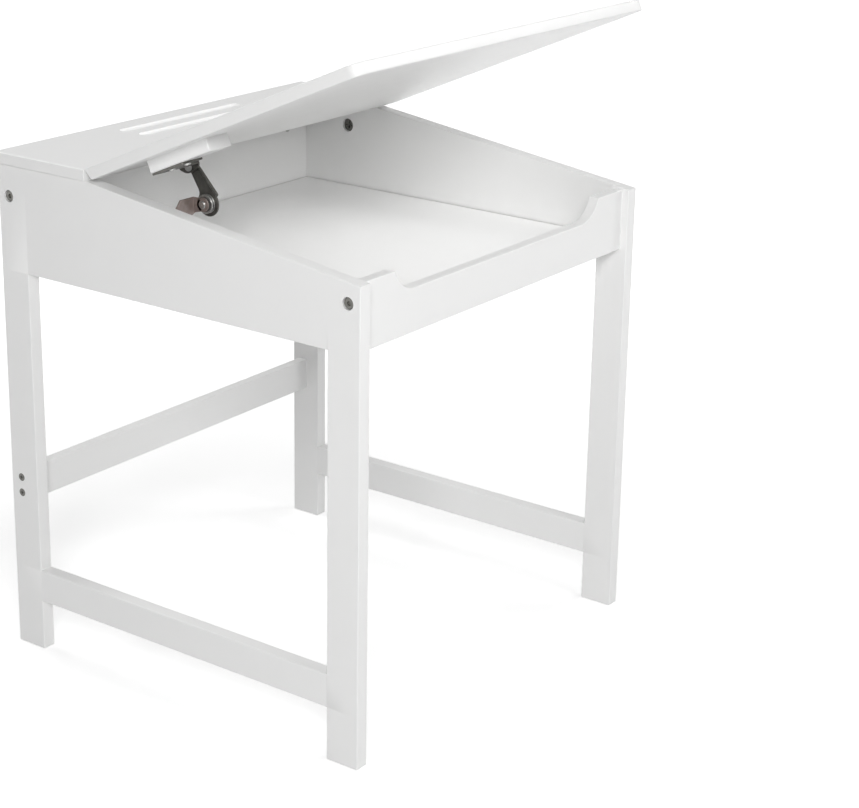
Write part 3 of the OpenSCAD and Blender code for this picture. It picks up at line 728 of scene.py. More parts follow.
@dataclass
class SideFrame:
    """One side of the desk: two legs, a panel with a sloping edge and a lower rail, all flush."""

    side: Side
    paint: Paintbox
    soft: Softening
    counterbore_r: float = 6.2 * MM
    counterbore_depth: float = 4.0 * MM
    screw_head_r: float = 4.25 * MM
    screw_hole_depth: float = 3.0 * MM
    cam_r: float = 7.55 * MM
    cam_depth: float = 13.0 * MM
    name: str = field(init=False)

    def __post_init__(self) -> None:
        """Works out the frame's name and its places."""
        self.name = "left" if self.side is Side.LEFT else "right"
        self.front_low, self.front_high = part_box(f"{self.name}_front_leg")
        self.rear_low, self.rear_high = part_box(f"{self.name}_rear_leg")
        self.panel_low, self.panel_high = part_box(f"{self.name}_side_panel")
        self.rail_low, self.rail_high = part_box(f"{self.name}_lower_rail")
        self.shelf_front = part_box("top_shelf")[0][1]
        self.outer_x = self.front_high[0] if self.side is Side.RIGHT else self.front_low[0]
        self.inner_x = self.front_low[0] if self.side is Side.RIGHT else self.front_high[0]

    def slope(self) -> tuple[Vector, Vector]:
        """Works out the sloping upper edge, which runs from the front leg's top up to the shelf.

        Returns:
            A point on the edge, and its normal.
        """
        tan = (self.rear_high[2] - self.front_high[2]) / (self.shelf_front - self.front_high[1])
        return Vector((0, self.shelf_front, self.rear_high[2])), Vector((0, -tan, 1)).normalized()

    def hole(self, obj: bpy.types.Object, y: float, z: float, radius: float, depth: float) -> None:
        """Sinks a round hole in a piece's outer face.

        Args:
            obj: The piece.
            y: The hole's place along Y.
            z: The hole's height.
            radius: Its radius.
            depth: Its depth.
        """
        start = self.outer_x + self.side.value * PAST
        length = -self.side.value * (depth + PAST)
        Bench.combine(obj, Bench.rod("hole", (start, y, z), Axis.X, radius, length))

    def exposed(self, edge: bmesh.types.BMEdge, low_z: float, high_z: float, joint_y: float) -> bool:
        """Says whether an edge of a leg shows, and isn't in a joint.

        Args:
            edge: The edge.
            low_z: The height of the panel's lower edge.
            high_z: The height of the leg's top.
            joint_y: The face of the leg that the panel and the rail meet.

        Returns:
            Whether the edge is rounded.
        """
        middle = edge_middle(edge)
        if not is_sharp(edge):
            return False
        if middle.z > high_z - CLOSE:
            return not near(middle.y, joint_y)
        if near(middle.y, joint_y):
            in_rail = self.rail_low[2] < middle.z < self.rail_high[2]
            return middle.z < low_z and not in_rail
        on_side = near(abs(middle.x), abs(self.outer_x)) or near(abs(middle.x), abs(self.inner_x))
        return on_side or middle.z < MM

    def leg(self, node: str, low: Vector, high: Vector, joint_y: float) -> bpy.types.Object:
        """Models one leg, with its joint stretch left crisp.

        Args:
            node: The leg's node.
            low: Its lowest corner.
            high: Its highest corner.
            joint_y: The face that the panel and the rail meet.

        Returns:
            The leg.
        """
        leg = Bench.block(f"{node}_board", low, high)
        if "front" in node:
            Bench.bisect(leg, *self.slope(), remove=True)
        for z in (self.rail_low[2], self.rail_high[2], self.panel_low[2]):
            Bench.bisect(leg, (0, 0, z), (0, 0, 1))
        Bench.bevel(leg, self.soft.board, lambda e: self.exposed(e, self.panel_low[2], high[2], joint_y))
        return leg

    def bolt_hole(self, leg: bpy.types.Object, board: str, z: float) -> None:
        """Sinks the counterbore over a connector bolt.

        Args:
            leg: The leg.
            board: The board that the bolt holds.
            z: The bolt's height.
        """
        self.hole(leg, middle_of(board)[1], z, self.counterbore_r, self.counterbore_depth)

    def panel_edge(self, edge: bmesh.types.BMEdge) -> bool:
        """Says whether an edge of the panel is its lower or its sloping one, between the joints.

        Args:
            edge: The edge.

        Returns:
            Whether the edge is rounded.
        """
        middle = edge_middle(edge)
        shown = near(middle.z, self.panel_low[2]) or self.on_slope(middle)
        at_joint = near(middle.y, self.panel_low[1]) or near(middle.y, self.panel_high[1])
        return is_sharp(edge) and not edge_runs(edge, 0) and shown and not at_joint

    def panel(self) -> bpy.types.Object:
        """Models the panel, with its sloping edge and the hole of the cam lock.

        Returns:
            The panel.
        """
        panel = Bench.block(f"{self.name}_side_board", self.panel_low, self.panel_high)
        Bench.bisect(panel, *self.slope(), remove=True)
        cam_place = (self.inner_x - self.side.value * PAST, *middle_of("cam_locks")[1:])
        cam_hole = Bench.rod("cam hole", cam_place, Axis.X, self.cam_r, self.side.value * self.cam_depth)
        Bench.combine(panel, cam_hole)
        Bench.bevel(panel, self.soft.board, self.panel_edge)
        return panel

    def build(self) -> None:
        """Models and dresses the side frame's four boards."""
        front_z, rear_z = bolt_heights()
        front = self.leg(f"{self.name}_front_leg", self.front_low, self.front_high, self.front_high[1])
        self.bolt_hole(front, "front_board", front_z)
        self.paint.dress(front, Slot.WHITE, Body.DESK, [f"{self.name}_front_leg"])

        rear = self.leg(f"{self.name}_rear_leg", self.rear_low, self.rear_high, self.rear_low[1])
        self.bolt_hole(rear, "back_board", rear_z)
        low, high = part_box("stretcher_screws")
        for z in (low[2] + self.screw_head_r, high[2] - self.screw_head_r):
            self.hole(rear, middle_of("stretcher_screws")[1], z, self.screw_head_r, self.screw_hole_depth)
        self.paint.dress(rear, Slot.WHITE, Body.DESK, [f"{self.name}_rear_leg"])

        self.paint.dress(self.panel(), Slot.WHITE, Body.DESK, [f"{self.name}_side_panel"])

        rail = Bench.block(f"{self.name}_rail_board", self.rail_low, self.rail_high)
        Bench.bevel(rail, self.soft.board, lambda e: edge_runs(e, 1))
        self.paint.dress(rail, Slot.WHITE, Body.DESK, [f"{self.name}_lower_rail"])

    def on_slope(self, point: Vector) -> bool:
        """Says whether a point lies on the sloping edge, in front of the shelf."""
        start, normal = self.slope()
        return abs((point - start).dot(normal)) < 0.3 * MM and point.y < self.shelf_front


@dataclass
class StorageBox:
    """The boards between the side frames: the scooped front, the back, the floor and the stretcher."""

    paint: Paintbox
    soft: Softening
    shoulder: float = 47 * MM
    scoop_drop: float = 22 * MM
    scoop_r: float = 34 * MM
    nut_gap: float = 0.05 * MM
    nut_depth: float = 9.65 * MM

    def nut_holes(self, board: bpy.types.Object, face_y: float, inward: int, z: float) -> None:
        """Sinks the round holes of the two barrel nuts into a board's inner face.

        Args:
            board: The board.
            face_y: Where the inner face lies.
            inward: The direction along Y from that face into the board, 1 or -1.
            z: The nuts' height.
        """
        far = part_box("barrel_nuts")[1][0] - NUT_R
        length = inward * (self.nut_depth + PAST)
        for x in (-far, far):
            place = (x, face_y - inward * PAST, z)
            Bench.combine(board, Bench.rod("nut hole", place, Axis.Y, NUT_R + self.nut_gap, length))

    def floor(self) -> bpy.types.Object:
        """Models the thin floor, whose upper cut edges are chamfered. Its chamfers and cut edges later get a
        dark brown, which is painted shadow for the gaps to the walls.

        Returns:
            The floor.
        """
        low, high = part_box("bottom_panel")
        floor = Bench.block("floor_board", low, high)
        Bench.bevel(floor, self.soft.floor, lambda e: edge_middle(e).z > high[2] - CLOSE, 1)
        return floor

    def board(self, node: str) -> bpy.types.Object:
        """Models a plain board between the side frames, with its long edges softened.

        Args:
            node: The board's node.

        Returns:
            The board.
        """
        low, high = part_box(node)
        board = Bench.block(f"{node}_board", low, high)
        Bench.bevel(board, self.soft.board, lambda e: edge_runs(e, 0))
        if node == "back_board":
            self.nut_holes(board, low[1], 1, bolt_heights()[1])
        return board

    def front(self) -> bpy.types.Object:
        """Models the front board and cuts its scoop, with round ends.

        Returns:
            The front board.
        """
        low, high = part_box("front_board")
        board = Bench.block("front_board_board", low, high)
        reach = math.sqrt(self.scoop_r**2 - (self.scoop_r - self.scoop_drop) ** 2)
        half = high[0] - self.shoulder
        floor_z = high[2] - self.scoop_drop
        start, stop = low[1] - PAST, high[1] + PAST
        round_x, round_z = half - reach, floor_z + self.scoop_r
        scoop_high = (round_x, stop, high[2] + self.scoop_r)
        Bench.combine(board, Bench.block("scoop", (-round_x, start, floor_z), scoop_high))
        for sign in (-1, 1):
            base = (sign * round_x, start, round_z)
            Bench.combine(board, Bench.rod("scoop end", base, Axis.Y, self.scoop_r, stop - start, sides=180))
        end_x = high[0] - CLOSE
        Bench.bevel(board, self.soft.board, lambda e: is_sharp(e, 30) and abs(edge_middle(e).x) < end_x)
        self.nut_holes(board, high[1], -1, bolt_heights()[0])
        return board

    def build(self) -> None:
        """Models and dresses the four boards."""
        self.paint.dress(self.front(), Slot.WHITE, Body.DESK, ["front_board"])
        self.paint.dress(self.board("back_board"), Slot.WHITE, Body.DESK, ["back_board"])
        self.paint.dress(self.board("rear_stretcher"), Slot.WHITE, Body.DESK, ["rear_stretcher"])
        floor = self.paint.dress(self.floor(), Slot.WHITE, Body.DESK, ["bottom_panel"])
        # The floor's chamfers and side faces take the dark edge finish: painted shadow for the gaps to the
        # walls.
        floor.data.materials.append(self.paint.raw)
        for face in floor.data.polygons:
            face.material_index = 0 if abs(face.normal.z) > 0.9 else 1


@dataclass
class LidFrame:
    """The lid's own frame: the hinge line is its origin, its front lies at -Y and its top at +Z."""

    hinge_y: float
    hinge_z: float
    open_angle: float = math.radians(23.6)

    def matrix(self) -> Matrix:
        """Gives the turn and move from the lid's own frame to the desk's."""
        return Matrix.Translation((0, self.hinge_y, self.hinge_z)) @ Matrix.Rotation(-self.open_angle, 4, "X")


@dataclass
class DeskTop:
    """The fixed shelf with its pencil grooves, the lid and the block under it."""

    paint: Paintbox
    soft: Softening
    lid_frame: LidFrame
    groove_r: float = 7 * MM
    groove_depth: float = 5 * MM
    groove_len: float = 186 * MM
    groove_rear: float = 33 * MM
    groove_pitch: float = 27 * MM
    hinge_x: float = 173 * MM
    hinge_len: float = 52 * MM
    knuckle_room: float = 2.5 * MM
    knuckle_gap: float = 0.3 * MM
    lid_len: float = 357 * MM
    lid_w: float = 481 * MM
    lid_t: float = 12 * MM
    lid_corner_r: float = 12 * MM
    lid_under: float = -11.629 * MM
    lid_bevel: float = math.radians(22)
    lid_spare: float = 5 * MM
    lid_joint: float = 7 * MM
    hinge_off: float = 1 * MM
    block_w: float = 31 * MM
    block_len: float = 82 * MM
    block_t: float = 13 * MM
    block_x: float = -219 * MM
    block_start: float = 62 * MM

    def groove(self, shelf: bpy.types.Object, y: float, top: float) -> None:
        """Cuts one pencil groove with round ends.

        Args:
            shelf: The shelf.
            y: The groove's middle.
            top: The height of the shelf's upper face.
        """
        z = top - self.groove_depth + self.groove_r
        reach = self.groove_len / 2 - self.groove_r
        tool = Bench.rod("groove", (-reach, y, z), Axis.X, self.groove_r, 2 * reach, sides=64)
        for sign in (-1, 1):
            Bench.combine(tool, Bench.ball("groove end", (sign * reach, y, z), self.groove_r), how=How.JOIN)
        Bench.combine(shelf, tool)

    def relieve(self, piece: bpy.types.Object, y: float, z: float) -> None:
        """Cuts room for the hinge knuckles.

        Args:
            piece: The shelf or the lid.
            y: The hinge line's place.
            z: The hinge line's height.
        """
        length = self.hinge_len + 2 * self.knuckle_gap
        for sign in (-1, 1):
            start = sign * self.hinge_x - self.hinge_len / 2 - self.knuckle_gap
            Bench.combine(piece, Bench.rod("relief", (start, y, z), Axis.X, self.knuckle_room, length))

    def shelf(self) -> bpy.types.Object:
        """Models the shelf.

        Returns:
            The shelf.
        """
        low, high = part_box("top_shelf")
        shelf = Bench.block("shelf_board", low, high)
        Bench.bevel(shelf, self.soft.top, lambda e: not near(edge_middle(e).y, low[1]) or edge_runs(e, 2))
        for y in (high[1] - self.groove_rear, high[1] - self.groove_rear - self.groove_pitch):
            self.groove(shelf, y, high[2])
        self.relieve(shelf, self.lid_frame.hinge_y, self.lid_frame.hinge_z)
        return shelf

    def lid(self) -> bpy.types.Object:
        """Models the lid: round front corners, softened edges and a bevelled rear edge.

        The rear edge is bevelled by cutting off what is spare there.

        Returns:
            The lid.
        """
        half = self.lid_w / 2
        top = self.lid_under + self.lid_t
        lid = Bench.block("lid_board", (-half, -self.lid_len, self.lid_under), (half, self.lid_spare, top))
        front = -self.lid_len / 2
        Bench.bevel(lid, self.lid_corner_r, lambda e: edge_runs(e, 2) and edge_middle(e).y < front, 12)
        tilt = self.lid_bevel
        point = (0, -self.hinge_off / math.cos(tilt), 0)
        Bench.bisect(lid, point, (0, math.cos(tilt), -math.sin(tilt)), remove=True)
        Bench.bevel(lid, self.soft.top, lambda e: is_sharp(e) and edge_middle(e).y < -self.lid_joint)
        self.relieve(lid, 0, 0)
        Bench.turn(lid, self.lid_frame.matrix())
        return lid

    def block(self) -> bpy.types.Object:
        """Models the block under the lid.

        Returns:
            The block.
        """
        low = (self.block_x, -self.block_start - self.block_len, self.lid_under - self.block_t)
        high = (self.block_x + self.block_w, -self.block_start, self.lid_under)
        block = Bench.block("stay_block_board", low, high)
        Bench.bevel(block, self.soft.board, lambda e: not near(edge_middle(e).z, self.lid_under))
        Bench.turn(block, self.lid_frame.matrix())
        return block

    def build(self) -> None:
        """Models and dresses the shelf, the lid and the block."""
        self.paint.dress(self.shelf(), Slot.WHITE, Body.DESK, ["top_shelf"])
        self.paint.dress(self.lid(), Slot.WHITE, Body.LID, ["lid"])
        self.paint.dress(self.block(), Slot.WHITE, Body.LID, ["stay_block"])


# ---------------------------------------------------------------- the fasteners


@dataclass(frozen=True)
class Recess:
    """The cross-shaped recess of a screw or a lock."""

    reach: float
    width: float
    depth: float
    corner: float = 0.25 * MM

    def cut(self, piece: bpy.types.Object, face_x: float) -> None:
        """Cuts the recess into a face that looks along -X, at Y = Z = 0.

        Args:
            piece: The piece to cut.
            face_x: Where the face lies.
        """
        bottom = face_x + self.depth
        for y, z in ((self.reach, self.width / 2), (self.width / 2, self.reach)):
            tool = Bench.block("recess", (face_x - PAST, -y, -z), (bottom, y, z))
            Bench.bevel(tool, self.corner, lambda e: near(edge_middle(e).x, bottom, SAME), 2)
            Bench.combine(piece, tool)


@dataclass(frozen=True)
class Screw:
    """A screw or bolt along +X, with the face or the underside of its head at the origin."""

    head_r: float
    shank_r: float
    length: float
    head_t: float = 0.0
    rim: float = 0.15 * MM
    recess: Recess | None = None
    socket_r: float = 0.0
    socket_depth: float = 0.0
    mouth_depth: float = 0.4 * MM
    mouth_flare: float = 0.16

    def build(self, name: str) -> bpy.types.Object:
        """Models the screw.

        Args:
            name: Its name.

        Returns:
            The screw, with a countersunk head where head_t is zero.
        """
        face = -self.head_t
        sunk = self.head_r - self.shank_r
        if self.head_t:
            head = Bench.rod(name, (face, 0, 0), Axis.X, self.head_r, self.head_t, sides=64)
        else:
            head = Bench.rod(name, (0, 0, 0), Axis.X, self.head_r, sunk, self.shank_r, sides=64)
        Bench.bevel(head, self.rim, lambda e: near(edge_middle(e).x, face, SAME), 5)
        shank_x = (sunk - face) / 2
        shank = Bench.rod("shank", (shank_x, 0, 0), Axis.X, self.shank_r, self.length - sunk / 2)
        Bench.combine(head, shank, how=How.JOIN)
        if self.recess:
            self.recess.cut(head, face)
        if self.socket_r:
            self.sink_socket(head, face)
        return head

    def sink_socket(self, head: bpy.types.Object, face: float) -> None:
        """Sinks the six-sided socket and its flared mouth.

        Args:
            head: The head.
            face: Where its face lies.
        """
        wide, narrow = self.socket_r * (1 + self.mouth_flare), self.socket_r * (1 - self.mouth_flare)
        socket_len = PAST + self.socket_depth
        socket = Bench.rod("socket", (face - PAST, 0, 0), Axis.X, self.socket_r, socket_len, sides=6)
        mouth = Bench.rod("mouth", (face - PAST / 100, 0, 0), Axis.X, wide, self.mouth_depth, narrow)
        Bench.combine(head, socket, mouth)


def copies(name: str, model: bpy.types.Object, places: Sequence[Matrix]) -> bpy.types.Object:
    """Copies a model, each copy with its own mesh, to several places and joins the copies.

    Args:
        name: The joined object's name.
        model: The model, which is used up.
        places: Where its frame goes for each copy.

    Returns:
        The joined copies.
    """
    made = []
    for place in places:
        Bench.only(model)
        bpy.ops.object.duplicate(linked=False)
        copy = bpy.context.object
        Bench.turn(copy, place)
        made.append(copy)
    bpy.data.objects.remove(model, do_unlink=True)
    return Bench.join(name, made)


# The turn that points a screw up, drawn along +X.
UPWARD = Matrix.Rotation(-math.pi / 2, 4, "Y")


def facing(side: Side) -> Matrix:
    """Gives the turn that points a screw on one side of the desk inward, drawn along +X."""
    return Matrix.Identity(4) if side is Side.LEFT else Matrix.Rotation(math.pi, 4, "Z")


@dataclass
class Fasteners:
    """The bolts, screws and locks that show in the side frames and under the lid's block."""

    paint: Paintbox
    lid_frame: LidFrame
    stretcher_screw: Screw = Screw(
        head_r=4.2 * MM, shank_r=2.4 * MM, length=50 * MM, recess=Recess(2 * MM, 0.9 * MM, 1.3 * MM)
    )
    block_screw: Screw = Screw(
        head_r=3.8 * MM, shank_r=2 * MM, length=20 * MM, recess=Recess(1.8 * MM, 0.85 * MM, 1.2 * MM)
    )
    bolt_r: float = 3 * MM
    bolt_head_t: float = 2.6 * MM
    bolt_rim: float = 0.7 * MM
    bolt_socket_r: float = 2.3 * MM
    bolt_socket_depth: float = 1.8 * MM
    cam_recess: Recess = Recess(4.6 * MM, 1.9 * MM, 2.4 * MM)
    cam_r: float = 7.5 * MM
    cam_len: float = 9.5 * MM
    cam_rim: float = 0.6 * MM
    ring_wide: float = 0.84
    ring_narrow: float = 0.76
    ring_depth: float = 0.3 * MM
    block_pitch: float = 20 * MM

    def bolts(self) -> bpy.types.Object:
        """Models the four connector bolts, which reach to the far side of their barrel nuts.

        Returns:
            The bolts.
        """
        low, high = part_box("connector_bolts")
        under = high[0] - self.bolt_head_t
        bolt = Screw(
            head_r=BOLT_HEAD_R,
            shank_r=self.bolt_r,
            length=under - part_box("barrel_nuts")[1][0] + 2 * NUT_R,
            head_t=self.bolt_head_t,
            rim=self.bolt_rim,
            socket_r=self.bolt_socket_r,
            socket_depth=self.bolt_socket_depth,
        )
        spots = zip((low[1] + BOLT_HEAD_R, high[1] - BOLT_HEAD_R), bolt_heights())
        places = [
            Matrix.Translation((side.value * under, y, z)) @ facing(side)
            for side, (y, z) in itertools.product(Side, spots)
        ]
        return copies("connector_bolts_set", bolt.build("connector_bolt"), places)

    def screws(self) -> bpy.types.Object:
        """Models the four stretcher screws.

        Returns:
            The screws.
        """
        low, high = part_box("stretcher_screws")
        y = middle_of("stretcher_screws")[1]
        heights = (low[2] + self.stretcher_screw.head_r, high[2] - self.stretcher_screw.head_r)
        places = [
            Matrix.Translation((side.value * high[0], y, z)) @ facing(side)
            for side, z in itertools.product(Side, heights)
        ]
        return copies("stretcher_screw_set", self.stretcher_screw.build("stretcher_screw"), places)

    def cams(self) -> bpy.types.Object:
        """Models the two cam locks: a drum with a turned ring and a cross slot in its face.

        Returns:
            The locks.
        """
        drum = Bench.rod("cam_lock", (0, 0, 0), Axis.X, self.cam_r, self.cam_len, sides=96)
        Bench.bevel(drum, self.cam_rim, lambda e: near(edge_middle(e).x, 0, SAME), 3)
        ring_len = PAST + self.ring_depth
        ring = Bench.rod("ring", (-PAST, 0, 0), Axis.X, self.cam_r * self.ring_wide, ring_len, sides=96)
        core_r, core_len = self.cam_r * self.ring_narrow, ring_len + 2 * PAST
        Bench.combine(ring, Bench.rod("core", (-2 * PAST, 0, 0), Axis.X, core_r, core_len, sides=96))
        Bench.combine(drum, ring)
        self.cam_recess.cut(drum, 0)
        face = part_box("cam_locks")[1][0] - self.cam_len
        outward = Matrix.Rotation(math.pi, 4, "Z")
        places = [
            Matrix.Translation((side.value * face, *middle_of("cam_locks")[1:])) @ facing(side) @ outward
            for side in Side
        ]
        return copies("cam_lock_set", drum, places)

    def block_screws(self, top: DeskTop) -> bpy.types.Object:
        """Models the screws that hold the block to the lid.

        Args:
            top: The shelf and lid, for the block's place.

        Returns:
            The screws.
        """
        middle_x, under = top.block_x + top.block_w / 2, top.lid_under - top.block_t
        front = -top.block_start - top.block_len + self.block_pitch / 2
        places = [
            self.lid_frame.matrix() @ Matrix.Translation((middle_x, y, under)) @ UPWARD
            for y in (front, front + self.block_pitch)
        ]
        return copies("block_screw_set", self.block_screw.build("block_screw"), places)

    def build(self, top: DeskTop) -> None:
        """Models and dresses the fasteners.

        Args:
            top: The shelf and lid.
        """
        self.paint.dress(self.bolts(), Slot.ZINC, Body.DESK, ["connector_bolts"], dull=True)
        self.paint.dress(self.screws(), Slot.ZINC, Body.DESK, ["stretcher_screws"], dull=True)
        self.paint.dress(self.cams(), Slot.ZINC, Body.DESK, ["cam_locks"], dull=True)
        self.paint.dress(self.block_screws(top), Slot.ZINC, Body.LID, ["block_screws"])


# ---------------------------------------------------------------- the lid stay


@dataclass
class LidStay:
    """The braked lid stay: a base bracket, a pack of discs, a stamped arm and a bracket on the block."""

    paint: Paintbox
    lid_frame: LidFrame
    pivot: Vector
    sheet: float = 2 * MM
    soft: float = 0.35 * MM
    bracket_soft: float = 0.25 * MM
    pin_soft: float = 0.4 * MM
    sliver: float = 0.1 * MM
    bend_r: float = 1.6 * MM
    # The arm
    arm_angle: float = math.radians(58)
    arm_len: float = 40 * MM
    lobe_r: float = 13 * MM
    end_r: float = 5 * MM
    waist: float = 3.8 * MM
    throat_r: float = 6 * MM
    heel_lap: float = 0.5 * MM
    flange_t: float = 1.4 * MM
    flange_h: float = 4.5 * MM
    flange_start: float = -1 * MM
    flange_stop: float = 37 * MM
    flange_corner_r: float = 3 * MM
    # The pin, the discs and the rivet
    pin_r: float = 2 * MM
    pin_head_t: float = 1.5 * MM
    collar_r: float = 3.5 * MM
    collar_t: float = 1 * MM
    disc_r: float = 9.5 * MM
    disc_t: float = 1.5 * MM
    disc_rim: float = 0.5 * MM
    disc_count: int = 2
    rivet_r: float = 2.5 * MM
    rivet_head_r: float = 4 * MM
    rivet_head_t: float = 1.5 * MM
    rivet_dome: float = 1.1 * MM
    # The base bracket
    ear_r: float = 7 * MM
    ear_lap: float = 0.5 * MM
    web_rise: float = 6 * MM
    web_foot: float = 20 * MM
    web_ear_drop: float = 10 * MM
    web_notch_gap: float = 7 * MM
    web_notch_drop: float = 2.5 * MM
    wall_drop: float = 8 * MM
    # The lid bracket
    plate_inset: float = 3 * MM
    plate_corner_r: float = 3 * MM
    strip_inset: float = 10 * MM
    strip_w: float = 8 * MM
    slot_low: tuple[float, float] = (-53.73 * MM, -26.39 * MM)
    slot_high: tuple[float, float] = (-45.0 * MM, -19.19 * MM)
    slot_len: float = 11.39 * MM
    slot_r: float = 3.07 * MM
    slot_rim: float = 3 * MM
    pin_room: float = 2.3 * MM
    ear_foot: float = 3 * MM
    ear_corner_r: float = 4 * MM
    # The screws
    pan_screw: Screw = Screw(
        head_r=3.2 * MM,
        shank_r=1.8 * MM,
        length=12 * MM,
        head_t=1.6 * MM,
        rim=0.9 * MM,
        recess=Recess(1.5 * MM, 0.75 * MM, 1.0 * MM),
    )
    lid_screw_inset: float = 6 * MM
    lid_screw_pitch: float = 21 * MM

    def soften(self, piece: bpy.types.Object, width: float) -> None:
        """Rounds all the sharp edges of a stamped piece, after its slivers are melted.

        Args:
            piece: The piece.
            width: The width of the rounding.
        """
        Bench.heal(piece, self.sliver)
        Bench.bevel(piece, width, lambda e: is_sharp(e, 30), 2)

    def plate(self, name: str, outline: Sequence[tuple[float, float]], x: float) -> bpy.types.Object:
        """Makes an upright plate of the sheet's thickness from a convex outline, cut from a block.

        Args:
            name: The plate's name.
            outline: Its corners as Y and Z, against the clock when seen from the right.
            x: The place of its left face.

        Returns:
            The plate.
        """
        ys, zs = zip(*outline)
        plate = Bench.block(name, (x, min(ys), min(zs)), (x + self.sheet, max(ys), max(zs)))
        for (y1, z1), (y2, z2) in zip(outline, [*outline[1:], outline[0]]):
            if not (near(y1, y2, SAME) or near(z1, z2, SAME)):
                Bench.bisect(plate, (x, y1, z1), (0, z2 - z1, y1 - y2), remove=True)
        return plate

    def drill(self, place: Sequence[float], radius: float, sides: int = 64) -> bpy.types.Object:
        """Makes a drill along X that goes through the sheet.

        Args:
            place: The middle of the hole, on the sheet's left face.
            radius: Its radius.
            sides: The number of its sides.

        Returns:
            The drill.
        """
        x, y, z = place
        return Bench.rod("drill", (x - PAST, y, z), Axis.X, radius, self.sheet + 2 * PAST, sides=sides)

    def at_arm(self) -> Matrix:
        """Gives the move from the arm's own frame, lying along +Y, to its place."""
        return Matrix.Translation(self.pivot) @ Matrix.Rotation(self.arm_angle, 4, "X")

    def arm(self) -> bpy.types.Object:
        """Models the arm: a lobe, a throat, a straight edge with a turned-up flange and a round end.

        Returns:
            The arm.
        """
        left = -self.sheet / 2
        lean = math.asin((self.lobe_r - self.end_r) / self.arm_len)
        normal = (0, math.sin(lean), math.cos(lean))
        arm = Bench.rod("arm", (left, 0, 0), Axis.X, self.lobe_r, self.sheet, sides=128)
        end = Bench.rod("end", (left, self.arm_len, 0), Axis.X, self.end_r, self.sheet, sides=96)
        body = Bench.block("body", (left, 0, -self.waist), (-left, self.arm_len, self.lobe_r))
        Bench.bisect(body, [self.lobe_r * n for n in normal], normal, remove=True)
        throat_z = -self.waist - self.throat_r
        throat_y = math.sqrt((self.lobe_r + self.throat_r) ** 2 - throat_z**2)
        share = self.lobe_r / (self.lobe_r + self.throat_r)
        heel_low = (left, throat_y * share - self.heel_lap, throat_z * share)
        heel = Bench.block("heel", heel_low, (-left, throat_y, -self.waist + MM))
        Bench.combine(arm, end, body, heel, how=How.JOIN)
        Bench.combine(arm, self.drill((left, throat_y, throat_z), self.throat_r, sides=96))
        flange_low = (left, self.flange_start, self.lobe_r - self.flange_t)
        flange = Bench.block("flange", flange_low, (self.flange_h, self.flange_stop, self.lobe_r))
        Bench.bevel(flange, self.flange_corner_r, lambda e: edge_runs(e, 2) and edge_middle(e).x > 0, 6)
        Bench.turn(flange, Matrix.Rotation(-lean, 4, "X"))
        Bench.combine(arm, flange, how=How.JOIN)
        self.soften(arm, self.soft)
        Bench.turn(arm, self.at_arm())
        return arm

    def pin(self) -> bpy.types.Object:
        """Models the arm's upper pin with its domed head and its collar.

        Returns:
            The pin.
        """
        low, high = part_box("stay_pin")
        left, right = low[0] - self.pivot.x, high[0] - self.pivot.x
        head_r = (high[2] - low[2]) / 2
        y, collar_x = self.arm_len, right - self.collar_t
        pin = Bench.rod("pin", (left, y, 0), Axis.X, self.pin_r, right - left)
        head = Bench.rod("head", (left, y, 0), Axis.X, head_r, self.pin_head_t, sides=64)
        collar = Bench.rod("collar", (collar_x, y, 0), Axis.X, self.collar_r, self.collar_t, sides=64)
        Bench.combine(pin, head, collar, how=How.JOIN)
        self.soften(pin, self.pin_soft)
        Bench.turn(pin, self.at_arm())
        return pin

    def discs(self) -> bpy.types.Object:
        """Models the bright discs, with rounded rims.

        Returns:
            The discs.
        """
        low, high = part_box("stay_discs")
        pitch = (high[0] - low[0] - self.disc_t) / (self.disc_count - 1)
        disc = Bench.rod("disc", (0, 0, 0), Axis.X, self.disc_r, self.disc_t, sides=96)
        Bench.bevel(disc, self.disc_rim, lambda e: is_sharp(e, 60), 4)
        Bench.combine(disc, Bench.rod("hole", (-PAST, 0, 0), Axis.X, self.rivet_r, self.disc_t + 2 * PAST))
        first = Vector((low[0], self.pivot.y, self.pivot.z))
        steps = [Vector((i * pitch, 0, 0)) for i in range(self.disc_count)]
        return copies("stay_disc_set", disc, [Matrix.Translation(first + step) for step in steps])

    def rivet(self) -> bpy.types.Object:
        """Models the rivet with its domed heads.

        Returns:
            The rivet.
        """
        low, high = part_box("stay_rivet")
        y, z = self.pivot.y, self.pivot.z
        rivet = Bench.rod("rivet", (low[0], y, z), Axis.X, self.rivet_r, high[0] - low[0])
        for x, face in ((low[0], low[0]), (high[0] - self.rivet_head_t, high[0])):
            head = Bench.rod("head", (x, y, z), Axis.X, self.rivet_head_r, self.rivet_head_t, sides=64)
            Bench.bevel(head, self.rivet_dome, lambda e: near(edge_middle(e).x, face, SAME), 6)
            Bench.combine(rivet, head, how=How.JOIN)
        return rivet

    def base_bracket(self) -> bpy.types.Object:
        """Models the base bracket: a wall flange, a web across and an ear at the pivot.

        Returns:
            The bracket.
        """
        low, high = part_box("stay_base_bracket")
        y, z = self.pivot.y, self.pivot.z
        ear_x = high[0] - self.sheet
        web_y = y + self.disc_r + self.sheet
        rear = web_y + self.sheet
        top = z + self.web_rise
        before = (low[0] - PAST, y - PAST, low[2] - PAST)
        wall_top = (low[0], z - self.wall_drop)
        foot = (low[0] + self.web_foot, low[2])
        ear_foot = (high[0], z - self.web_ear_drop)
        block_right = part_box("stay_block")[1][0]
        notch = (block_right, z - self.web_notch_drop)
        shoulder = (block_right + self.web_notch_gap, top)

        bracket = Bench.block("base_bracket", (low[0], y, low[2]), (high[0], rear, top))
        Bench.combine(bracket, Bench.block("hollow", before, (ear_x, web_y, top + PAST)))
        self.cut_across(bracket, foot, ear_foot)
        above = Bench.block("above", (*before[:2], low[2]), (ear_x, rear + PAST, top + PAST))
        self.cut_across(above, wall_top, notch)
        self.cut_across(above, notch, shoulder)
        Bench.combine(bracket, above)

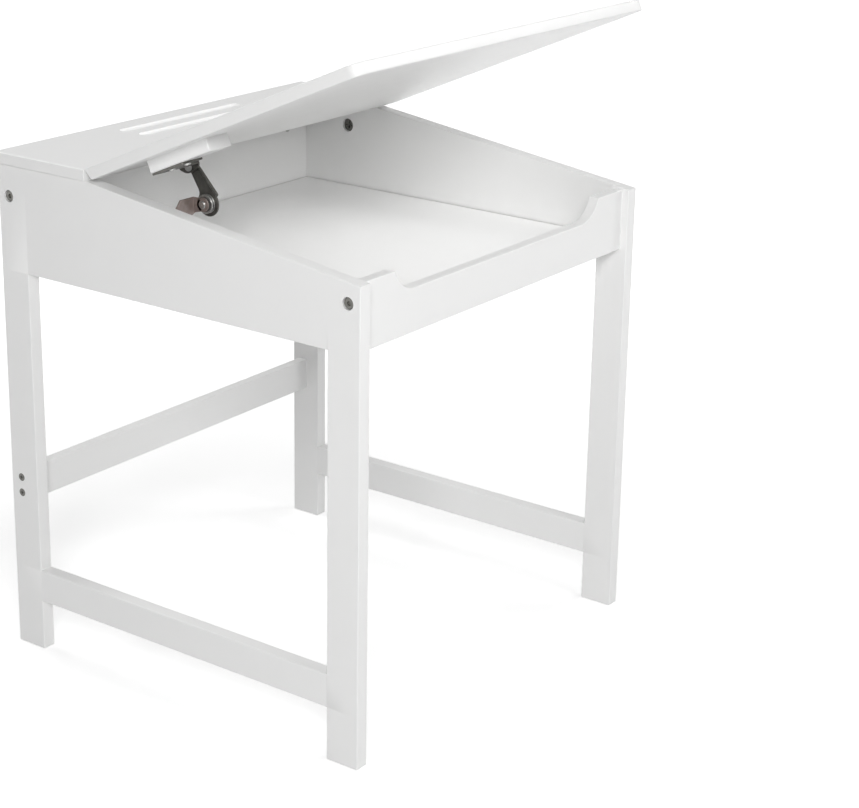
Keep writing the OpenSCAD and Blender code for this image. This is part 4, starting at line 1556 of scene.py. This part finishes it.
        ear_low = z - self.ear_r + self.ear_lap
        under = Bench.block("under", (ear_x - PAST, *before[1:]), (high[0] + PAST, web_y, z))
        Bench.bisect(under, (0, y, ear_low), (0, ear_low - ear_foot[1], rear - y), remove=True)
        Bench.combine(bracket, under)
        wall_high = (low[0] + self.sheet, high[1], wall_top[1] - MM)
        wall = Bench.block("wall flange", (low[0], web_y, low[2]), wall_high)
        ear = Bench.rod("ear", (ear_x, y, z), Axis.X, self.ear_r, self.sheet, sides=128)
        Bench.combine(bracket, wall, ear, how=How.JOIN)

        bends = ((high[0], rear), (low[0], web_y))
        Bench.bevel(bracket, self.bend_r, lambda e: any(self.at_bend(e, bend) for bend in bends), 5)
        self.soften(bracket, self.bracket_soft)
        return bracket

    def at_bend(self, edge: bmesh.types.BMEdge, bend: tuple[float, float]) -> bool:
        """Says whether an edge is the upright one of a bend at a place given as X and Y."""
        middle = edge_middle(edge)
        return edge_runs(edge, 2) and near(middle.x, bend[0]) and near(middle.y, bend[1])

    def cut_across(self, piece: bpy.types.Object, start: Sequence[float], end: Sequence[float]) -> None:
        """Cuts a piece along a line seen from the front, and takes away what lies right of the line.

        Args:
            piece: The piece.
            start: The line's start, as X and Z.
            end: The line's end, as X and Z.
        """
        normal = (end[1] - start[1], 0, start[0] - end[0])
        Bench.bisect(piece, (start[0], 0, start[1]), normal, remove=True)

    def lid_bracket(self, top: DeskTop) -> bpy.types.Object:
        """Models the bracket on the block: a plate, a strip and an ear with the pin's slot.

        Args:
            top: The shelf and lid, for the block's place.

        Returns:
            The bracket.
        """
        upper = top.lid_under - top.block_t
        lower = upper - self.sheet
        left, right = top.block_x + self.plate_inset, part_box("stay_lid_bracket")[1][0]
        ear_x = right - self.sheet
        rear = self.slot_low[0] - self.slot_r - self.pin_room
        strip_front = rear - self.strip_w
        plate_front = -top.block_start - top.block_len / 2
        plate_high = (top.block_x + top.block_w, rear, upper)
        bracket = Bench.block("lid_bracket", (left, plate_front, lower), plate_high)
        Bench.bevel(
            bracket, self.plate_corner_r, lambda e: edge_runs(e, 2) and edge_middle(e).x < left + MM, 6
        )
        strip_low = (top.block_x + self.strip_inset, strip_front, lower)
        strip = Bench.block("strip", strip_low, (right, rear, upper))

        rim = self.slot_r + self.slot_rim
        (low_y, low_z), (high_y, high_z) = self.slot_low, self.slot_high
        outline = [
            (strip_front, lower - self.ear_foot),
            (low_y - rim, low_z - rim),
            (low_y + rim, low_z - rim),
            (high_y + rim, high_z - rim),
            (high_y + rim, top.lid_under - MM),
            (high_y - rim, top.lid_under - MM),
            (strip_front, upper + self.sheet),
        ]
        ear = self.plate("ear", outline, ear_x)
        corner_top = high_z - rim + MM
        Bench.bevel(ear, self.ear_corner_r, lambda e: edge_runs(e, 0) and edge_middle(e).z < corner_top, 8)
        Bench.combine(bracket, strip, ear, how=How.JOIN)
        Bench.combine(bracket, self.slot(ear_x))
        self.soften(bracket, self.bracket_soft)
        Bench.turn(bracket, self.lid_frame.matrix())
        return bracket

    def slot(self, ear_x: float) -> bpy.types.Object:
        """Makes the tool that cuts the pin's slot, with round ends.

        Args:
            ear_x: The place of the ear's left face.

        Returns:
            The tool.
        """
        low, high = Vector((ear_x, *self.slot_low)), Vector((ear_x, *self.slot_high))
        along = (high - low).normalized()
        slot = self.drill(low, self.slot_r)
        Bench.combine(slot, self.drill(low + along * self.slot_len, self.slot_r), how=How.JOIN)
        stop_x = ear_x + self.sheet + PAST
        middle = Bench.block(
            "slot middle", (ear_x - PAST, 0, -self.slot_r), (stop_x, self.slot_len, self.slot_r)
        )
        turn = Matrix.Rotation(math.atan2(along.z, along.y), 4, "X")
        Bench.turn(middle, Matrix.Translation((0, *self.slot_low)) @ turn)
        Bench.combine(slot, middle, how=How.JOIN)
        return slot

    def base_screws(self) -> bpy.types.Object:
        """Models the two screws in the wall flange.

        Returns:
            The screws.
        """
        low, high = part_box("stay_base_screws")
        x, z = high[0] - self.pan_screw.head_t, middle_of("stay_base_screws")[2]
        leftward = Matrix.Rotation(math.pi, 4, "Z")
        ys = (low[1] + self.pan_screw.head_r, high[1] - self.pan_screw.head_r)
        places = [Matrix.Translation((x, y, z)) @ leftward for y in ys]
        return copies("stay_base_screw_set", self.pan_screw.build("pan_screw"), places)

    def lid_screws(self, top: DeskTop) -> bpy.types.Object:
        """Models the two screws in the plate under the block.

        Args:
            top: The shelf and lid, for the block's place.

        Returns:
            The screws.
        """
        x, z = top.block_x + top.block_w / 2, top.lid_under - top.block_t - self.sheet
        front = -top.block_start - top.block_len / 2 + self.lid_screw_inset
        places = [
            self.lid_frame.matrix() @ Matrix.Translation((x, y, z)) @ UPWARD
            for y in (front, front + self.lid_screw_pitch)
        ]
        return copies("stay_lid_screw_set", self.pan_screw.build("pan_screw"), places)

    def build(self, top: DeskTop) -> None:
        """Models and dresses the stay.

        Args:
            top: The shelf and lid.
        """
        dress = self.paint.dress
        dress(self.arm(), Slot.DARK, Body.ARM, ["stay_arm"])
        dress(self.pin(), Slot.ZINC, Body.ARM, ["stay_pin"])
        dress(self.discs(), Slot.ZINC, Body.DESK, ["stay_discs"])
        dress(self.rivet(), Slot.ZINC, Body.DESK, ["stay_rivet"])
        dress(self.base_bracket(), Slot.BROWN, Body.DESK, ["stay_base_bracket"])
        dress(self.lid_bracket(top), Slot.DARK, Body.LID, ["stay_lid_bracket"])
        dress(self.base_screws(), Slot.ZINC, Body.DESK, ["stay_base_screws"])
        dress(self.lid_screws(top), Slot.ZINC, Body.LID, ["stay_lid_screws"])


# ---------------------------------------------------------------- the kept nodes


KEPT_FINISHES: dict[Slot, tuple[str, ...]] = {
    Slot.BEECH: ("frame_dowels", "board_dowels", "floor_dowels", "shelf_dowels"),
    Slot.ZINC: (
        "barrel_nuts",
        "cam_bolts",
        "hinge_fixed_leaves",
        "hinge_moving_leaves",
        "hinge_pins",
        "hinge_shelf_screws",
        "hinge_lid_screws",
    ),
    Slot.FIBRE: ("stay_friction_rings",),
}


# ---------------------------------------------------------------- the studio


@dataclass(frozen=True)
class Lamp:
    """A square soft lamp: its name, its place, the length of its side and its power in watts."""

    name: str
    place: tuple[float, float, float]
    side: float
    watts: float

    def hang(self, aim: Sequence[float]) -> bpy.types.Object:
        """Hangs the lamp.

        Args:
            aim: The place that it faces.

        Returns:
            The lamp.
        """
        data = bpy.data.lights.new(self.name, "AREA")
        data.size = self.side
        data.energy = self.watts
        obj = bpy.data.objects.new(self.name, data)
        bpy.context.collection.objects.link(obj)
        facing_aim = (Vector(aim) - Vector(self.place)).to_track_quat("-Z", "Y")
        obj.matrix_world = Matrix.Translation(self.place) @ facing_aim.to_matrix().to_4x4()
        obj.visible_camera = False
        return obj


@dataclass
class Studio:
    """A pale floor, a white surround and soft lamps, with the camera where the photograph's stood.

    The surround lights the desk with the ambient strength, shows in mirrors with the mirrored one,
    and is white to the camera. The floor glows for the camera and in mirrors: fully from floor_far
    on, and less near the desk, where it keeps the shadow.
    """

    camera_place: tuple[float, float, float] = (-1.6168, -1.2903, 0.9958)
    yaw: float = math.radians(54.44)
    pitch: float = math.radians(-17.88)
    roll: float = math.radians(1.04)
    lens: float = 86.8
    shift_y: float = -0.08
    view_depth: float = 100.0
    ambient: float = 0.2
    mirrored: float = 0.65
    floor_half: float = 30.0
    floor_drop: float = 0.2 * MM
    floor_tone: float = 0.82
    floor_roughness: float = 0.8
    floor_near: float = 0.45
    floor_far: float = 1.5
    floor_near_glow: float = 0.38
    aim: tuple[float, float, float] = (0, 0, 0.42)
    lamps: tuple[Lamp, ...] = (
        Lamp("key_lamp", (-1.86, -1.45, 1.54), 0.8, 34),
        Lamp("front_lamp", (0, -1.84, 1.96), 0.8, 9),
        Lamp("right_lamp", (1.7, -1.19, 1.62), 0.8, 13),
        Lamp("rear_lamp", (0, 1.7, 2.12), 1.2, 19),
    )
    box_lamp: Lamp = Lamp("box_lamp", (-1.82, -1.28, 1.32), 0.8, 34)
    box_boards: tuple[str, ...] = ("floor_board", "back_board_board")

    def camera(self) -> None:
        """Places the camera."""
        data = bpy.data.cameras.new("camera")
        data.lens = self.lens
        data.shift_y = self.shift_y
        data.clip_end = self.view_depth
        obj = bpy.data.objects.new("camera", data)
        bpy.context.collection.objects.link(obj)
        level = Vector((math.cos(self.yaw), -math.sin(self.yaw), 0))
        ahead = Vector((math.sin(self.yaw), math.cos(self.yaw), 0))
        forward = ahead * math.cos(self.pitch) + Vector((0, 0, math.sin(self.pitch)))
        upright = level.cross(forward)
        right = level * math.cos(self.roll) + upright * math.sin(self.roll)
        up = upright * math.cos(self.roll) - level * math.sin(self.roll)
        turn = Matrix((right, up, -forward)).transposed().to_4x4()
        obj.matrix_world = Matrix.Translation(self.camera_place) @ turn
        bpy.context.scene.camera = obj

    def floor(self) -> None:
        """Lays the floor, which keeps the desk's shadow."""
        bpy.ops.object.select_all(action="DESELECT")
        bpy.ops.mesh.primitive_plane_add(size=2 * self.floor_half, location=(0, 0, -self.floor_drop))
        obj = bpy.context.object
        obj.name = "studio_floor"
        kit = NodeKit("studio floor")
        kit.feed("Base Color", (self.floor_tone, self.floor_tone, self.floor_tone, 1))
        kit.feed("Roughness", self.floor_roughness)
        rays = kit.node("ShaderNodeLightPath")
        seen = kit.node("ShaderNodeMath", operation="MAXIMUM")
        kit.link(rays.outputs["Is Camera Ray"], seen.inputs[0])
        kit.link(rays.outputs["Is Glossy Ray"], seen.inputs[1])
        distance = kit.node("ShaderNodeVectorMath", operation="LENGTH")
        kit.link(kit.place, distance.inputs[0])
        glow = kit.spread(distance.outputs["Value"], self.floor_near_glow, 1, self.floor_near, self.floor_far)
        lift = kit.node("ShaderNodeMath", operation="MULTIPLY")
        kit.link(seen.outputs[0], lift.inputs[0])
        kit.link(glow, lift.inputs[1])
        kit.feed("Emission Color", (1, 1, 1, 1))
        kit.feed("Emission Strength", lift.outputs[0])
        obj.data.materials.append(kit.material)

    def surround(self) -> None:
        """Sets a soft grey-white surround that the camera sees as white."""
        world = bpy.data.worlds.new("studio")
        bpy.context.scene.world = world
        world.use_nodes = True
        nodes, links = world.node_tree.nodes, world.node_tree.links
        background = nodes["Background"]
        background.inputs["Color"].default_value = (1, 1, 1, 1)
        rays = nodes.new("ShaderNodeLightPath")
        mirrored = nodes.new("ShaderNodeMath")
        mirrored.operation = "MULTIPLY_ADD"
        mirrored.inputs[1].default_value = self.mirrored - self.ambient
        mirrored.inputs[2].default_value = self.ambient
        links.new(rays.outputs["Is Glossy Ray"], mirrored.inputs[0])
        strength = nodes.new("ShaderNodeMath")
        strength.operation = "MAXIMUM"
        links.new(rays.outputs["Is Camera Ray"], strength.inputs[0])
        links.new(mirrored.outputs[0], strength.inputs[1])
        links.new(strength.outputs[0], background.inputs["Strength"])

    def build(self) -> None:
        """Sets up the whole studio. The box lamp lights only the inside of the storage box."""
        self.camera()
        self.floor()
        self.surround()
        for lamp in self.lamps:
            lamp.hang(self.aim)
        lit = bpy.data.collections.new("box_boards")
        for name in self.box_boards:
            lit.objects.link(bpy.data.objects[name])
        self.box_lamp.hang(self.aim).light_linking.receiver_collection = lit
        bpy.context.scene.view_settings.view_transform = "Standard"


def main() -> None:
    """Builds the desk's pieces in order, then the studio."""
    logging.basicConfig(level=logging.INFO, format="%(name)s: %(message)s")
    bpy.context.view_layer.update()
    paint = Paintbox()
    soft = Softening()
    hinge = next(joint for joint in frame["joints"] if joint["name"] == "lid_hinge")
    lid_frame = LidFrame(hinge["pos_m"][1], hinge["pos_m"][2])
    for side in Side:
        SideFrame(side, paint, soft).build()
    StorageBox(paint, soft).build()
    top = DeskTop(paint, soft, lid_frame)
    top.build()
    Fasteners(paint, lid_frame).build(top)
    pivot = next(joint for joint in frame["joints"] if joint["name"] == "stay_pivot")
    LidStay(paint, lid_frame, Vector(pivot["pos_m"])).build(top)
    for slot, nodes in KEPT_FINISHES.items():
        for node in nodes:
            paint.repaint(node, slot)
    Studio().build()


if __name__ == "__main__":
    main()
